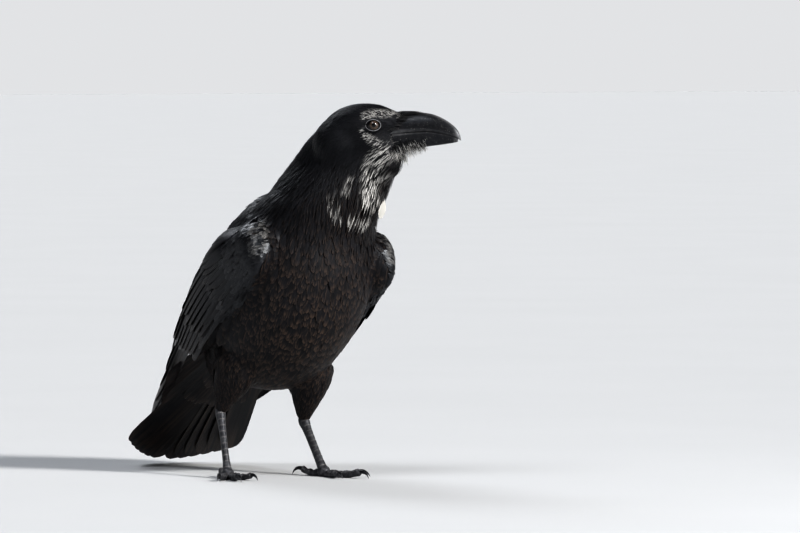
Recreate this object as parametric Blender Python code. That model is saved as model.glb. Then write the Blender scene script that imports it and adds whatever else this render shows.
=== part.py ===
"""A common raven, life size, standing still with its head turned to its left.

Frame: metres, +Z up. The body faces -Y, so the bird's right side is -X. It is modelled from
lengths in millimetres along three of its own directions: to its left, forward and up, from the
floor point between its feet. The body above the legs leans a little to the left. At the end the
whole bird is moved so that the bottom centre of its bounding box is at the origin.

The soft parts are chains of ellipsoids, fused and smoothed into one form, which thin cuts part
into head, neck and trunk. Wings, tail and bill are lofted along their length. The solids are the
outer form of the plumage.
"""

import math

import bmesh
import bpy
from mathutils import Matrix, Vector

MM = 0.001
GAP = 0.35 * MM  # between solids that touch

# Stance
LEAN_DEG = 5.0  # of the body towards its left, about the floor line between the feet
WING_PITCH_DEG = 36.0  # of the folded wings, from their tips up to their wrists
TAIL_PITCH_DEG = 35.0
HEAD_YAW_DEG = 50.0  # to the bird's left
HEAD_PITCH_DEG = 4.0
HEAD_CENTRE = (27.0, 114.5, 375.5)  # midway between the eyes, before the lean

# Head, bill and eyes: lengths from the point midway between the eyes
BILL_TIP = 91.5
BILL_ROOT = 8.0
EYE_RADIUS = 8.2
EYE_SIDE = 17.6  # from the middle of the head to an eye's centre

# Wings: lengths from the wrist, the folded wing's foremost joint
WRIST = (88.0, 64.0, 243.0)
WING_LENGTH = 385.0

# Tail
TAIL_ROOT = (0.0, -76.0, 144.0)
TAIL_LENGTH = 242.0
TAIL_HALF_WIDTH = 71.0

# Legs: side, forward, up
KNEE = (42.0, -20.0, 124.0)
ANKLES = {"right": (-46.0, -37.0, 69.0), "left": (49.0, -30.0, 58.0)}
FEET = {"right": (-52.0, -7.0, 5.0), "left": (54.0, 7.0, 5.0)}
FOOT_YAW_DEG = {"right": -14.0, "left": 20.0}
SIDES = {"right": -1.0, "left": 1.0}

# Fineness of the fused forms
BODY_VOXEL = 2.6 * MM
BODY_TRIANGLES = 2500
FOOT_VOXEL = 0.8 * MM
FOOT_TRIANGLES = 350

PLUMAGE = ("plumage", (0.012, 0.012, 0.016), 0.45)
HORN = ("horn", (0.02, 0.02, 0.022), 0.3)
SCALE_SKIN = ("scale_skin", (0.03, 0.03, 0.032), 0.4)
EYE = ("eye", (0.03, 0.015, 0.008), 0.08)


def at(side, forward, up):
    """A point from lengths in millimetres to the bird's left, forward and up."""
    return Vector((side, -forward, up)) * MM


def turned(yaw_deg, pitch_deg=0.0):
    """Turns a direction that points forward to the left by yaw and up by pitch."""
    yaw = Matrix.Rotation(math.radians(yaw_deg), 4, "Z")
    return yaw @ Matrix.Rotation(-math.radians(pitch_deg), 4, "X")


LEAN = Matrix.Rotation(math.radians(LEAN_DEG), 4, "Y")
HEAD = LEAN @ Matrix.Translation(at(*HEAD_CENTRE)) @ turned(HEAD_YAW_DEG, HEAD_PITCH_DEG)


def through(keys, x):
    """The value at x of the smooth line through keys, each (x, value, ...) in rising x."""
    if x <= keys[0][0]:
        return keys[0][1:]
    if x >= keys[-1][0]:
        return keys[-1][1:]
    i = max(k for k in range(len(keys) - 1) if keys[k][0] <= x)
    before, start, end, after = (keys[min(max(k, 0), len(keys) - 1)] for k in (i - 1, i, i + 1, i + 2))
    span = end[0] - start[0]
    t = (x - start[0]) / span
    found = []
    for column in range(1, len(start)):
        slope_in = (end[column] - before[column]) / max(end[0] - before[0], 1e-9) * span
        slope_out = (after[column] - start[column]) / max(after[0] - start[0], 1e-9) * span
        found.append(
            (2 * t**3 - 3 * t**2 + 1) * start[column]
            + (t**3 - 2 * t**2 + t) * slope_in
            + (3 * t**2 - 2 * t**3) * end[column]
            + (t**3 - t**2) * slope_out
        )
    return tuple(found)


def blob(bm, centre, radii, frame=Matrix.Identity(4), yaw=0.0, pitch=0.0, fineness=3):
    """Adds an ellipsoid. radii are sideways, along its own forward direction, and up."""
    side, along, up = radii
    scale = Matrix.Diagonal(Vector((side, along, up, 1.0 / MM))) * MM
    place = frame @ Matrix.Translation(at(*centre)) @ turned(yaw, pitch) @ scale
    bmesh.ops.create_icosphere(bm, subdivisions=fineness, radius=1.0, matrix=place)


def chain(bm, keys, frame=Matrix.Identity(4), steps=7):
    """Adds a close row of ellipsoids through keys: centre, radii, yaw and pitch."""
    numbered = [(i, *centre, *radii, yaw, pitch) for i, (centre, radii, yaw, pitch) in enumerate(keys)]
    for k in range((len(keys) - 1) * steps + 1):
        v = through(numbered, k / steps)
        blob(bm, v[0:3], v[3:6], frame, v[6], v[7])


def object_of(bm, name, material=None):
    """Makes the bmesh an object."""
    bmesh.ops.recalc_face_normals(bm, faces=bm.faces)
    mesh = bpy.data.meshes.new(name)
    bm.to_mesh(mesh)
    bm.free()
    made = bpy.data.objects.new(name, mesh)
    bpy.context.scene.collection.objects.link(made)
    if material:
        dress(made, material)
    return made


def dress(obj, material):
    """Gives an object its material, and smooth shading."""
    name, colour, roughness = material
    found = bpy.data.materials.get(name)
    if found is None:
        found = bpy.data.materials.new(name)
        found.use_nodes = True
        shader = found.node_tree.nodes["Principled BSDF"]
        shader.inputs["Base Color"].default_value = (*colour, 1.0)
        shader.inputs["Roughness"].default_value = roughness
    obj.data.materials.clear()
    obj.data.materials.append(found)
    obj.data.shade_smooth()


def settled(obj):
    """Replaces an object's mesh with its modified one, and returns the object."""
    bpy.context.view_layer.update()
    made = bpy.data.meshes.new_from_object(obj.evaluated_get(bpy.context.evaluated_depsgraph_get()))
    obj.modifiers.clear()
    obj.data = made
    return obj


def fused(bm, name, voxel, smoothings, triangles):
    """One closed smooth mesh from overlapping closed shapes, with about so many triangles."""
    made = object_of(bm, name)
    remesh = made.modifiers.new("fuse", "REMESH")
    remesh.mode = "VOXEL"
    remesh.voxel_size = voxel
    smooth = made.modifiers.new("smooth", "SMOOTH")
    smooth.factor = 0.5
    smooth.iterations = smoothings
    settled(made)
    decimate = made.modifiers.new("thin", "DECIMATE")
    decimate.ratio = triangles / max(sum(len(f.vertices) - 2 for f in made.data.polygons), triangles)
    return settled(made)


def lofted(rings):
    """A closed solid through rings of points, all with the same count, with its ends filled."""
    bm = bmesh.new()
    corners = [bm.verts.new(p) for p in rings[0]]
    loop = [bm.edges.new((corners[k - 1], corners[k])) for k in range(len(corners))]
    bmesh.ops.edgeloop_fill(bm, edges=loop)
    for ring in rings[1:]:
        made = bmesh.ops.extrude_edge_only(bm, edges=loop)["geom"]
        fresh = {g for g in made if isinstance(g, bmesh.types.BMVert)}
        corners = [next(e.other_vert(v) for e in v.link_edges if e.other_vert(v) in fresh) for v in corners]
        loop = [g for g in made if isinstance(g, bmesh.types.BMEdge) and fresh.issuperset(g.verts)]
        for corner, point in zip(corners, ring, strict=True):
            corner.co = point
    bmesh.ops.edgeloop_fill(bm, edges=loop)
    return bm


def bisected(obj, point, normal, keep_above):
    """Cuts an object's mesh by a plane, keeps one side and fills the cut."""
    bm = bmesh.new()
    bm.from_mesh(obj.data)
    cut = bmesh.ops.bisect_plane(
        bm,
        geom=[*bm.verts, *bm.edges, *bm.faces],
        dist=1e-7,
        plane_co=point,
        plane_no=normal,
        clear_inner=keep_above,
        clear_outer=not keep_above,
    )["geom_cut"]
    rim = [g for g in cut if isinstance(g, bmesh.types.BMEdge)]
    bmesh.ops.triangle_fill(bm, edges=rim, use_beauty=True, use_dissolve=False)
    bmesh.ops.recalc_face_normals(bm, faces=bm.faces)
    bm.to_mesh(obj.data)
    bm.free()


def copy_of(obj, name):
    """A copy of an object with a mesh of its own."""
    made = bpy.data.objects.new(name, obj.data.copy())
    bpy.context.scene.collection.objects.link(made)
    return made


def grown(obj, name, by):
    """A hidden cutter: a copy of an object, pushed out along its normals."""
    made = copy_of(obj, name)
    for v, normal in zip(made.data.vertices, [n.vector.copy() for n in made.data.vertex_normals], strict=True):
        v.co += normal * by
    made.hide_render = True
    made.display_type = "WIRE"
    return made


def cut_away(obj, cutter):
    """Cuts one closed mesh from another."""
    cut = obj.modifiers.new("cut", "BOOLEAN")
    cut.operation = "DIFFERENCE"
    cut.solver = "EXACT"
    cut.object = cutter
    return settled(obj)


# ---------------------------------------------------------------- body

TRUNK = [  # centre, radii, yaw and pitch, from the tail's coverts to the base of the neck
    ((0, -134, 107), (26, 26, 11), 0, 35),
    ((0, -104, 123), (42, 30, 26), 0, 34),
    ((0, -72, 138), (58, 36, 50), 0, 32),
    ((0, -38, 155), (68, 42, 69), 0, 33),
    ((0, -4, 178), (75, 44, 73), 0, 37),
    ((0, 22, 206), (76, 46, 74), 0, 45),
    ((0, 34, 234), (75, 46, 70), 0, 56),
    ((0, 40, 256), (70, 44, 64), 0, 66),
    ((2, 48, 276), (62, 40, 57), 8, 76),
]
MANTLE = [  # the raised feathers of the upper back
    ((-2, 6, 258), (68, 48, 44), 0, 48),
    ((-2, -16, 242), (70, 48, 44), 0, 42),
    ((0, -48, 214), (58, 46, 36), 0, 40),
    ((0, -84, 184), (40, 42, 24), 0, 38),
]
NECK = [  # radii across, fore and aft, and up
    ((2, 50, 274), (62, 58, 38), 8, 0),
    ((5, 58, 298), (51, 62, 34), 20, 0),
    ((11, 72, 322), (40, 58, 30), 32, 0),
    ((15, 85, 344), (32, 53, 27), 42, 0),
    ((19, 96, 362), (27, 44, 24), HEAD_YAW_DEG, 0),
]
HEAD_FORMS = [  # in the head's own frame: centre, radii, pitch
    ("braincase", (0, -18, 0), (25.5, 38, 22.5), 8),
    ("crown", (0, -4, 3), (21, 30, 19.5), -6),
    ("forehead", (0, 17, 3), (14, 20, 12.5), -14),
    ("lores", (0, 22, -4), (12.5, 20, 11), -4),
    ("nape", (0, -38, -17), (26, 30, 27), 40),
    ("jowls", (0, -4, -19), (22.5, 28, 15), 0),
    ("chin", (0, 16, -24), (10.5, 20, 8.5), 6),
    ("gular pouch", (0, 8, -38), (17, 20, 20), -60),
]


def body():
    """The head, neck and trunk as one fused form, leaning as the bird does."""
    bm = bmesh.new()
    chain(bm, TRUNK, LEAN)
    chain(bm, NECK, LEAN)
    chain(bm, MANTLE, LEAN)
    for _, centre, radii, pitch in HEAD_FORMS:
        blob(bm, centre, radii, HEAD, 0.0, pitch)
    return fused(bm, "body", BODY_VOXEL, 14, BODY_TRIANGLES)


# ---------------------------------------------------------------- bill and eyes

BILL_PROFILE = [  # along, top of the upper bill, line where the bill shuts, bottom of the lower
    (BILL_ROOT, 9.0, -10.5, -26.0),
    (24.0, 12.5, -8.8, -27.0),
    (40.0, 13.2, -7.4, -24.6),
    (55.0, 12.2, -6.8, -22.4),
    (66.0, 9.2, -7.9, -21.0),
    (76.0, 4.0, -10.2, -19.6),
    (84.0, -2.2, -12.6, -18.2),
    (89.0, -8.0, -14.6, -17.0),
    (BILL_TIP, -13.5, -16.0, -16.4),
]
BILL_HALF_WIDTH = [
    (BILL_ROOT, 13.2),
    (24.0, 12.0),
    (40.0, 10.4),
    (55.0, 8.6),
    (66.0, 7.0),
    (76.0, 5.2),
    (84.0, 3.4),
    (89.0, 1.8),
    (BILL_TIP, 0.6),
]
BILL_RINGS = 12


def bill_ring(along, upper):
    """One section of the upper or the lower bill, in the head's frame."""
    top, shut, bottom = through(BILL_PROFILE, along)
    half = through(BILL_HALF_WIDTH, along)[0]
    arc = 8
    points = []
    gap = 0.5 * GAP / MM
    if upper:
        height = max(top - shut - gap, 0.6)
        for k in range(arc):
            angle = math.pi * k / (arc - 1)
            points.append((half * math.cos(angle), shut + gap + height * math.sin(angle) ** 0.8))
        points += [(-0.5 * half, shut + gap + 0.2), (0.0, shut + gap + 0.3), (0.5 * half, shut + gap + 0.2)]
    else:
        half = max(0.9 * half, 0.4)
        height = max(shut - bottom - gap, 0.5)
        for k in range(arc):
            angle = math.pi * k / (arc - 1)
            points.append((-half * math.cos(angle), shut - gap - height * math.sin(angle) ** 0.9))
        points += [(0.5 * half, shut - gap - 0.1), (0.0, shut - gap - 0.1), (-0.5 * half, shut - gap - 0.1)]
    return [HEAD @ at(side, along, up) for side, up in points]


def bill(name, upper):
    """The upper or the lower half of the shut bill."""
    end = BILL_TIP if upper else BILL_TIP - 3.4
    steps = [BILL_ROOT + (end - BILL_ROOT) * (k / BILL_RINGS) ** 0.85 for k in range(BILL_RINGS + 1)]
    return object_of(lofted([bill_ring(a, upper) for a in steps]), name, HORN)


def eye(name, side):
    """An eyeball, which stands a little out of its socket."""
    bm = bmesh.new()
    centre = HEAD @ at(side * EYE_SIDE, 0.0, 0.0)
    bmesh.ops.create_uvsphere(
        bm, u_segments=12, v_segments=8, radius=EYE_RADIUS * MM, matrix=Matrix.Translation(centre)
    )
    return object_of(bm, name, EYE)


# ---------------------------------------------------------------- wings and tail

def backward(pitch_deg):
    """The direction that leads back and down, and the one at right angles that leads up."""
    down, level = math.sin(math.radians(pitch_deg)), math.cos(math.radians(pitch_deg))
    return Vector((0.0, level, -down)), Vector((0.0, down, level))


WING_FORM = [  # along; out from the wrist; middle and half width; turn in above and below; thickness
    (-15.0, -16.0, -1.0, 7.0, 1.0, 1.0, 12.0),
    (-9.0, -6.0, 0.5, 18.0, 5.0, 3.0, 24.0),
    (0.0, 0.0, 1.0, 31.0, 16.0, 6.0, 34.0),
    (25.0, 2.0, 8.0, 40.0, 36.0, 9.0, 42.0),
    (62.0, 3.0, 20.5, 52.5, 56.0, 9.0, 42.0),
    (110.0, 2.0, 20.0, 50.0, 70.0, 9.0, 38.0),
    (155.0, -3.0, 15.0, 45.0, 74.0, 8.0, 28.0),
    (195.0, -11.0, 12.5, 40.5, 66.0, 7.0, 18.0),
    (228.0, -19.0, 10.5, 34.5, 56.0, 7.0, 12.0),
    (268.0, -29.0, 12.0, 26.0, 42.0, 5.0, 8.0),
    (305.0, -37.0, 14.5, 16.5, 28.0, 3.0, 6.0),
    (345.0, -46.0, 14.5, 10.5, 14.0, 2.0, 4.5),
    (WING_LENGTH, -62.0, 11.0, 3.0, 1.0, 1.0, 2.2),
]
WING_RINGS = 17
WING_ACROSS = 9


def wing_ring(side, along):
    """One section across a folded wing: its outer face, then its inner one."""
    out, middle, half, turn_up, turn_down, thick = through(WING_FORM, along)
    back, dorsal = backward(WING_PITCH_DEG)
    root = at(0.0, WRIST[1], WRIST[2]) + back * along * MM
    outer, inner = [], []
    for k in range(WING_ACROSS):
        t = 2.0 * k / (WING_ACROSS - 1) - 1.0
        turn = turn_up * t**2.6 if t > 0 else turn_down * t * t
        sideways = WRIST[0] + out - turn
        edge = thick * (0.35 + 0.65 * math.sqrt(max(1.0 - t * t, 0.0)))
        across = root + dorsal * (middle + t * half) * MM
        outer.append(across + Vector((side * sideways * MM, 0.0, 0.0)))
        inner.append(across + Vector((side * (sideways - edge) * MM, 0.0, 0.0)))
    return [LEAN @ p for p in outer + inner[::-1]]


def wing(name, side):
    """One folded wing."""
    start = WING_FORM[0][0]
    steps = [start + (WING_LENGTH - start) * (k / WING_RINGS) ** 1.3 for k in range(WING_RINGS + 1)]
    return object_of(lofted([wing_ring(side, along) for along in steps]), name, PLUMAGE)


TAIL_FORM = [  # along, half width, drop of the edges, thickness
    (0.0, 16.0, 2.0, 9.0),
    (50.0, 30.0, 4.0, 8.0),
    (110.0, 50.0, 7.0, 6.5),
    (160.0, 64.0, 9.0, 5.0),
    (190.0, TAIL_HALF_WIDTH, 10.0, 4.5),
    (208.0, 66.0, 9.0, 4.0),
    (225.0, 46.0, 5.0, 3.4),
    (TAIL_LENGTH, 12.0, 1.0, 2.4),
]
TAIL_RINGS = 10
TAIL_ACROSS = 7


def tail():
    """The half-spread tail, a shallow roof with a wedge-shaped end."""
    back, dorsal = backward(TAIL_PITCH_DEG)
    rings = []
    for k in range(TAIL_RINGS + 1):
        along = TAIL_LENGTH * k / TAIL_RINGS
        half, drop, thick = through(TAIL_FORM, along)
        root = at(*TAIL_ROOT) + back * along * MM
        top, under = [], []
        for j in range(TAIL_ACROSS):
            t = 2.0 * j / (TAIL_ACROSS - 1) - 1.0
            edge = thick * (0.3 + 0.7 * math.sqrt(max(1.0 - t * t, 0.0)))
            across = root + Vector((t * half * MM, 0.0, 0.0)) - dorsal * drop * t * t * MM
            top.append(across)
            under.append(across - dorsal * edge * MM)
        rings.append([LEAN @ p for p in top + under[::-1]])
    return object_of(lofted(rings), "tail", PLUMAGE)


# ---------------------------------------------------------------- legs

THIGH_FORM = [  # share of the way from knee to ankle, half width, half depth
    (0.0, 24.0, 31.0),
    (0.3, 22.5, 28.0),
    (0.55, 17.5, 21.0),
    (0.8, 10.5, 12.5),
    (0.94, 7.2, 8.2),
    (1.0, 6.0, 6.8),
]
TARSUS_FORM = [  # share of the way from ankle to foot, half width, half depth
    (0.0, 4.6, 5.2),
    (0.07, 5.4, 6.3),
    (0.22, 4.1, 5.2),
    (0.5, 3.6, 4.7),
    (0.8, 3.8, 4.8),
    (0.94, 4.9, 5.3),
    (1.0, 4.6, 4.6),
]
LIMB_AROUND = 10


def limb(name, start, end, form, yaw_deg, rings, material):
    """A tapering limb from one point to another, wider fore and aft than across."""
    axis = (end - start).normalized()
    across = (turned(yaw_deg) @ Vector((1.0, 0.0, 0.0))).cross(axis).cross(axis).normalized()
    depth = axis.cross(across)
    made = []
    for k in range(rings + 1):
        share = k / rings
        half, deep = through(form, share)
        middle = start.lerp(end, share)
        made.append(
            [
                middle
                + across * half * MM * math.cos(2 * math.pi * j / LIMB_AROUND)
                + depth * deep * MM * math.sin(2 * math.pi * j / LIMB_AROUND)
                for j in range(LIMB_AROUND)
            ]
        )
    return object_of(lofted(made), name, material)


TOES = {  # yaw from the foot's own line; length; thickness; claw's length
    "inner": (-25.0, 37.0, 4.3, 15.5),
    "middle": (0.0, 49.0, 4.4, 16.5),
    "outer": (25.0, 38.0, 4.1, 14.5),
    "hind": (180.0, 29.0, 4.6, 18.0),
}
CLAW_RINGS = 6
CLAW_AROUND = 6


def toe_frame(side_name, toe):
    """Where a toe lies: its root on the foot, and the way that it points."""
    side = SIDES[side_name]
    yaw = FOOT_YAW_DEG[side_name] - side * TOES[toe][0]
    return Matrix.Translation(at(FEET[side_name][0], FEET[side_name][1], 0.0)) @ turned(yaw)


def foot(side_name):
    """A foot with three toes in front and one behind, flat where it meets the floor."""
    bm = bmesh.new()
    here = Matrix.Translation(at(FEET[side_name][0], FEET[side_name][1], 0.0))
    blob(bm, (0, 0, 5.2), (6.4, 7.0, 6.0), here, FOOT_YAW_DEG[side_name], 0.0)
    for toe, (_, length, thick, _) in TOES.items():
        frame = toe_frame(side_name, toe)
        joints = 4 if length > 40.0 else 3
        for k in range(13):
            share = k / 12
            swell = 0.9 + 0.14 * math.cos(2.0 * math.pi * joints * share)
            radius = thick * swell * (1.0 - 0.22 * share)
            rise = radius * 0.86
            blob(bm, (0, length * share, rise), (radius, radius * 1.25, radius), frame, fineness=2)
    made = fused(bm, f"foot_{side_name}", FOOT_VOXEL, 3, FOOT_TRIANGLES)
    bisected(made, Vector((0.0, 0.0, 0.0)), Vector((0.0, 0.0, 1.0)), keep_above=True)
    dress(made, SCALE_SKIN)
    return made


def claw(side_name, toe):
    """A curved claw at a toe's end, with its point just off the floor."""
    _, length, thick, reach = TOES[toe]
    frame = toe_frame(side_name, toe)
    bend = math.radians(78.0)
    radius = reach / bend
    tip_up = 0.6
    drop = radius * (1.0 - math.cos(bend))
    start_up = max(tip_up + drop - 2.0, thick * 0.86)
    rings = []
    for k in range(CLAW_RINGS + 1):
        share = k / CLAW_RINGS
        angle = bend * share
        along = length + thick * 0.5 + radius * math.sin(angle)
        up = start_up - (start_up - tip_up) * (1.0 - math.cos(angle)) / (1.0 - math.cos(bend))
        half = max(0.5 * thick * (1.0 - share) ** 0.8, 0.28)
        deep = max(0.68 * thick * (1.0 - share) ** 0.75, 0.3)
        rings.append(
            [
                frame
                @ at(
                    half * math.cos(2 * math.pi * j / CLAW_AROUND),
                    along + deep * math.sin(angle) * math.sin(2 * math.pi * j / CLAW_AROUND),
                    max(up + deep * math.cos(angle) * math.sin(2 * math.pi * j / CLAW_AROUND), 0.3),
                )
                for j in range(CLAW_AROUND)
            ]
        )
    return object_of(lofted(rings), f"claw_{toe}_{side_name}", HORN)


# ---------------------------------------------------------------- assembly


def parted_body(whole):
    """Head, neck and trunk, cut from the fused body with thin gaps."""
    axis_high = (HEAD.to_3x3() @ Vector((0.0, -0.45, 1.0))).normalized()
    high = HEAD @ at(0.0, -8.0, -45.0)
    axis_low = (LEAN.to_3x3() @ Vector((0.15, -0.55, 1.0))).normalized()
    low = LEAN @ at(3.0, 60.0, 268.0)
    head, neck, trunk = (copy_of(whole, name) for name in ("head", "neck", "trunk"))
    half = 0.5 * GAP
    bisected(head, high + axis_high * half, axis_high, keep_above=True)
    bisected(neck, high - axis_high * half, axis_high, keep_above=False)
    bisected(neck, low + axis_low * half, axis_low, keep_above=True)
    bisected(trunk, low - axis_low * half, axis_low, keep_above=False)
    for piece in (head, neck, trunk):
        dress(piece, PLUMAGE)
    return head, neck, trunk


def centre_on_floor():
    """Moves every object so that the bottom centre of the bird's box is at the origin."""
    bpy.context.view_layer.update()
    shown = [o for o in bpy.context.scene.objects if not o.hide_render]
    points = [v.co for o in shown for v in o.data.vertices]
    low = Vector([min(p[k] for p in points) for k in range(3)])
    high = Vector([max(p[k] for p in points) for k in range(3)])
    shift = Vector((-(low.x + high.x) / 2, -(low.y + high.y) / 2, -low.z))
    for o in bpy.context.scene.objects:
        o.data.transform(Matrix.Translation(shift))


def main():
    """Builds the bird."""
    for obj in list(bpy.data.objects):
        bpy.data.objects.remove(obj, do_unlink=True)
    whole = body()
    body_cutter = grown(whole, "body_cutter", GAP)
    head, _, trunk = parted_body(whole)
    bpy.data.objects.remove(whole)

    for name, side in SIDES.items():
        ball = eye(f"eye_{name}", side)
        cut_away(head, grown(ball, f"socket_{name}", GAP))
    for name, upper in (("bill_upper", True), ("bill_lower", False)):
        cut_away(bill(name, upper), body_cutter)

    wing_cutters = []
    for name, side in SIDES.items():
        folded = cut_away(wing(f"wing_{name}", side), body_cutter)
        wing_cutters.append(grown(folded, f"wing_cutter_{name}", GAP))
    rump = cut_away(tail(), body_cutter)
    for cutter in wing_cutters:
        cut_away(rump, cutter)

    for name, side in SIDES.items():
        knee = LEAN @ at(side * KNEE[0], KNEE[1], KNEE[2])
        ankle = at(*ANKLES[name])
        sole = at(*FEET[name])
        thigh = limb(f"thigh_{name}", knee, ankle, THIGH_FORM, 0.0, 8, PLUMAGE)
        cut_away(thigh, body_cutter)
        shank = (sole - ankle).normalized()
        tarsus = limb(
            f"tarsus_{name}", ankle + shank * 3.0 * MM, sole, TARSUS_FORM, FOOT_YAW_DEG[name], 10, SCALE_SKIN
        )
        base = foot(name)
        cut_away(tarsus, grown(base, f"foot_cutter_{name}", GAP))
        cut_away(tarsus, grown(thigh, f"thigh_cutter_{name}", GAP))
        for toe in TOES:
            cut_away(claw(name, toe), grown(base, f"claw_cutter_{toe}_{name}", GAP))
    centre_on_floor()


main()
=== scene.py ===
"""The looks of a common raven at life size, standing still with its head turned to its left.

Lengths are in millimetres along three of the bird's own directions, to its left, forward and up,
from the floor point between its feet. Axes objects turn them into metres in the row frame.
One skin replaces the fleshy nodes and lies inside them by the depth of the plumage. Every feather
is a thin closed solid, and feathers of one kind are joined in one mesh.
"""

import logging
from collections.abc import Sequence
from dataclasses import dataclass, replace
from enum import Enum
from math import atan2, copysign, cos, exp, hypot, pi, radians, sin, sqrt, tau

import bmesh
import bpy
import numpy as np
from mathutils import Matrix, Vector
from mathutils.bvhtree import BVHTree
from mathutils.kdtree import KDTree


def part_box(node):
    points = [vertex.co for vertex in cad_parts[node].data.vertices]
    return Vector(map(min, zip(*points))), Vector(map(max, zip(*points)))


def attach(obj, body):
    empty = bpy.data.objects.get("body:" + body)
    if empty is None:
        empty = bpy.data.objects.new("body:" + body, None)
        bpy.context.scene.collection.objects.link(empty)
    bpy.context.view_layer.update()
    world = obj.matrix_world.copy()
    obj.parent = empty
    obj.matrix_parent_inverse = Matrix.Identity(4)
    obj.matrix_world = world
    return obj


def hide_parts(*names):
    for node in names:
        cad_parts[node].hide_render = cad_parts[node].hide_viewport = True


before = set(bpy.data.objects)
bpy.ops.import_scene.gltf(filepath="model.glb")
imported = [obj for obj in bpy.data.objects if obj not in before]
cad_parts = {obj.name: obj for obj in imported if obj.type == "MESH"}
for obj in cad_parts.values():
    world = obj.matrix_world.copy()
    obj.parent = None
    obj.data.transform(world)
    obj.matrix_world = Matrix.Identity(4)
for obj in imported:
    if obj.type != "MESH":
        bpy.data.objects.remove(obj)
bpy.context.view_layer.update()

log = logging.getLogger("raven")
MM = 0.001
SEED = 20110
SIDES = {"right": -1, "left": 1}
Keys = Sequence[tuple[float, ...]]
Array = np.ndarray
Material = bpy.types.Material
Mesh = bpy.types.Mesh
Generator = np.random.Generator
Triple = tuple[float, float, float]


# -------- lengths and directions


def chance(number: int) -> Generator:
    """A source of random numbers of its own."""
    return np.random.default_rng(SEED + number)


def turned(yaw_deg: float, pitch_deg: float = 0) -> Matrix:
    """The turn of a forward direction to the bird's left by yaw and up by pitch."""
    return Matrix.Rotation(radians(yaw_deg), 4, "Z") @ Matrix.Rotation(-radians(pitch_deg), 4, "X")


def unit(vectors: Array) -> Array:
    """Vectors scaled to length one, along the last axis."""
    return vectors / np.maximum(np.linalg.norm(vectors, axis=-1, keepdims=True), 1e-12)


def keyed(keys: Keys, x: Array | float) -> Array:
    """Values on the smooth line through keys.

    Args:
        keys: Rows of a place and its values, in rising places.
        x: The places to read, in any shape.

    Returns:
        An array of x's shape with one more axis, for the values.
    """
    table = np.asarray(keys, float)
    places = np.asarray(x, float)
    flat = np.clip(places.ravel(), table[0, 0], table[-1, 0])
    i = np.clip(np.searchsorted(table[:, 0], flat, side="right") - 1, 0, len(table) - 2)
    before, start, end, after = (table[np.clip(i + k, 0, len(table) - 1)] for k in (-1, 0, 1, 2))
    span = (end - start)[:, :1]
    t = (flat[:, None] - start[:, :1]) / span
    slope_in = (end - before) / (end - before)[:, :1] * span
    slope_out = (after - start) / (after - start)[:, :1] * span
    found = (
        (2 * t**3 - 3 * t**2 + 1) * start
        + (t**3 - 2 * t**2 + t) * slope_in
        + (3 * t**2 - 2 * t**3) * end
        + (t**3 - t**2) * slope_out
    )
    return found[:, 1:].reshape(*places.shape, table.shape[1] - 1)


class Axes:
    """A place on the bird and the three directions from which lengths are counted there."""

    def __init__(self, matrix: Matrix) -> None:
        """Keeps the place as a matrix and as arrays."""
        self.matrix, self.origin = matrix, np.array(matrix.translation)
        self.turn = np.array(matrix.to_3x3()) @ np.diag((1, -1, 1))

    def points(self, lengths: Array | Sequence) -> Array:
        """Row-frame points in metres from lengths in millimetres."""
        return self.origin + MM * np.asarray(lengths, float) @ self.turn.T

    def ways(self, directions: Array | Sequence) -> Array:
        """Row-frame unit directions from directions to the left, forward and up."""
        return unit(np.asarray(directions, float) @ self.turn.T)

    def lengths(self, points: Array) -> Array:
        """Lengths in millimetres from row-frame points in metres."""
        return (np.asarray(points, float) - self.origin) @ self.turn / MM

    def point(self, side: float, forward: float, up: float) -> Vector:
        """One row-frame point in metres."""
        return Vector(self.points([(side, forward, up)])[0])


@dataclass(frozen=True)
class Stance:
    """How the bird stands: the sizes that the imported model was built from."""

    lean_deg: float = 5
    head_yaw_deg: float = 50
    head_pitch_deg: float = 4
    head_centre: Triple = (27, 114.5, 375.5)
    wing_pitch_deg: float = 36
    tail_pitch_deg: float = 35
    wrist: Triple = (88, 64, 243)
    tail_root: Triple = (0, -76, 144)
    tail_length: float = 242
    eye_side: float = 17.6
    eye_ahead: float = 1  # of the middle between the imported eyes
    eye_below: float = 1.4

    def leaning(self) -> Matrix:
        """The lean of everything above the legs, about the floor point between the feet."""
        return Matrix.Rotation(radians(self.lean_deg), 4, "Y")

    def floor_point(self) -> Vector:
        """Where the floor point between the feet lies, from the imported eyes.

        Returns:
            The point.
        """
        corners = [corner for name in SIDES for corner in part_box(f"eye_{name}")]
        side, forward, up = self.head_centre
        return sum(corners, Vector()) / len(corners) - self.leaning() @ Vector((side, -forward, up)) * MM

    def ground(self) -> Axes:
        """The directions that the legs are counted in."""
        return Axes(Matrix.Translation(self.floor_point()))

    def bird(self) -> Axes:
        """The directions that the trunk, wings and tail are counted in."""
        return Axes(Matrix.Translation(self.floor_point()) @ self.leaning())

    def head(self) -> Axes:
        """The head's own directions, from the point midway between the eyes.

        Returns:
            The place and directions.
        """
        side, forward, up = self.head_centre
        place = Matrix.Translation(Vector((side, -forward, up)) * MM)
        return Axes(self.bird().matrix @ place @ turned(self.head_yaw_deg, self.head_pitch_deg))

    def backward(self, pitch_deg: float) -> tuple[Array, Array]:
        """Directions that lead back and down, and up at right angles to that, by a pitch."""
        down, level = sin(radians(pitch_deg)), cos(radians(pitch_deg))
        return np.array((0, -level, -down)), np.array((0, -down, level))


STANCE = Stance()
GROUND, BIRD, HEAD = STANCE.ground(), STANCE.bird(), STANCE.head()
WING_BACK, WING_UP = STANCE.backward(STANCE.wing_pitch_deg)
TAIL_BACK, TAIL_UP = STANCE.backward(STANCE.tail_pitch_deg)
WING_START = np.array((0, *STANCE.wrist[1:]))  # level with the wrist, on the bird's middle plane


# -------- finishes


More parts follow.
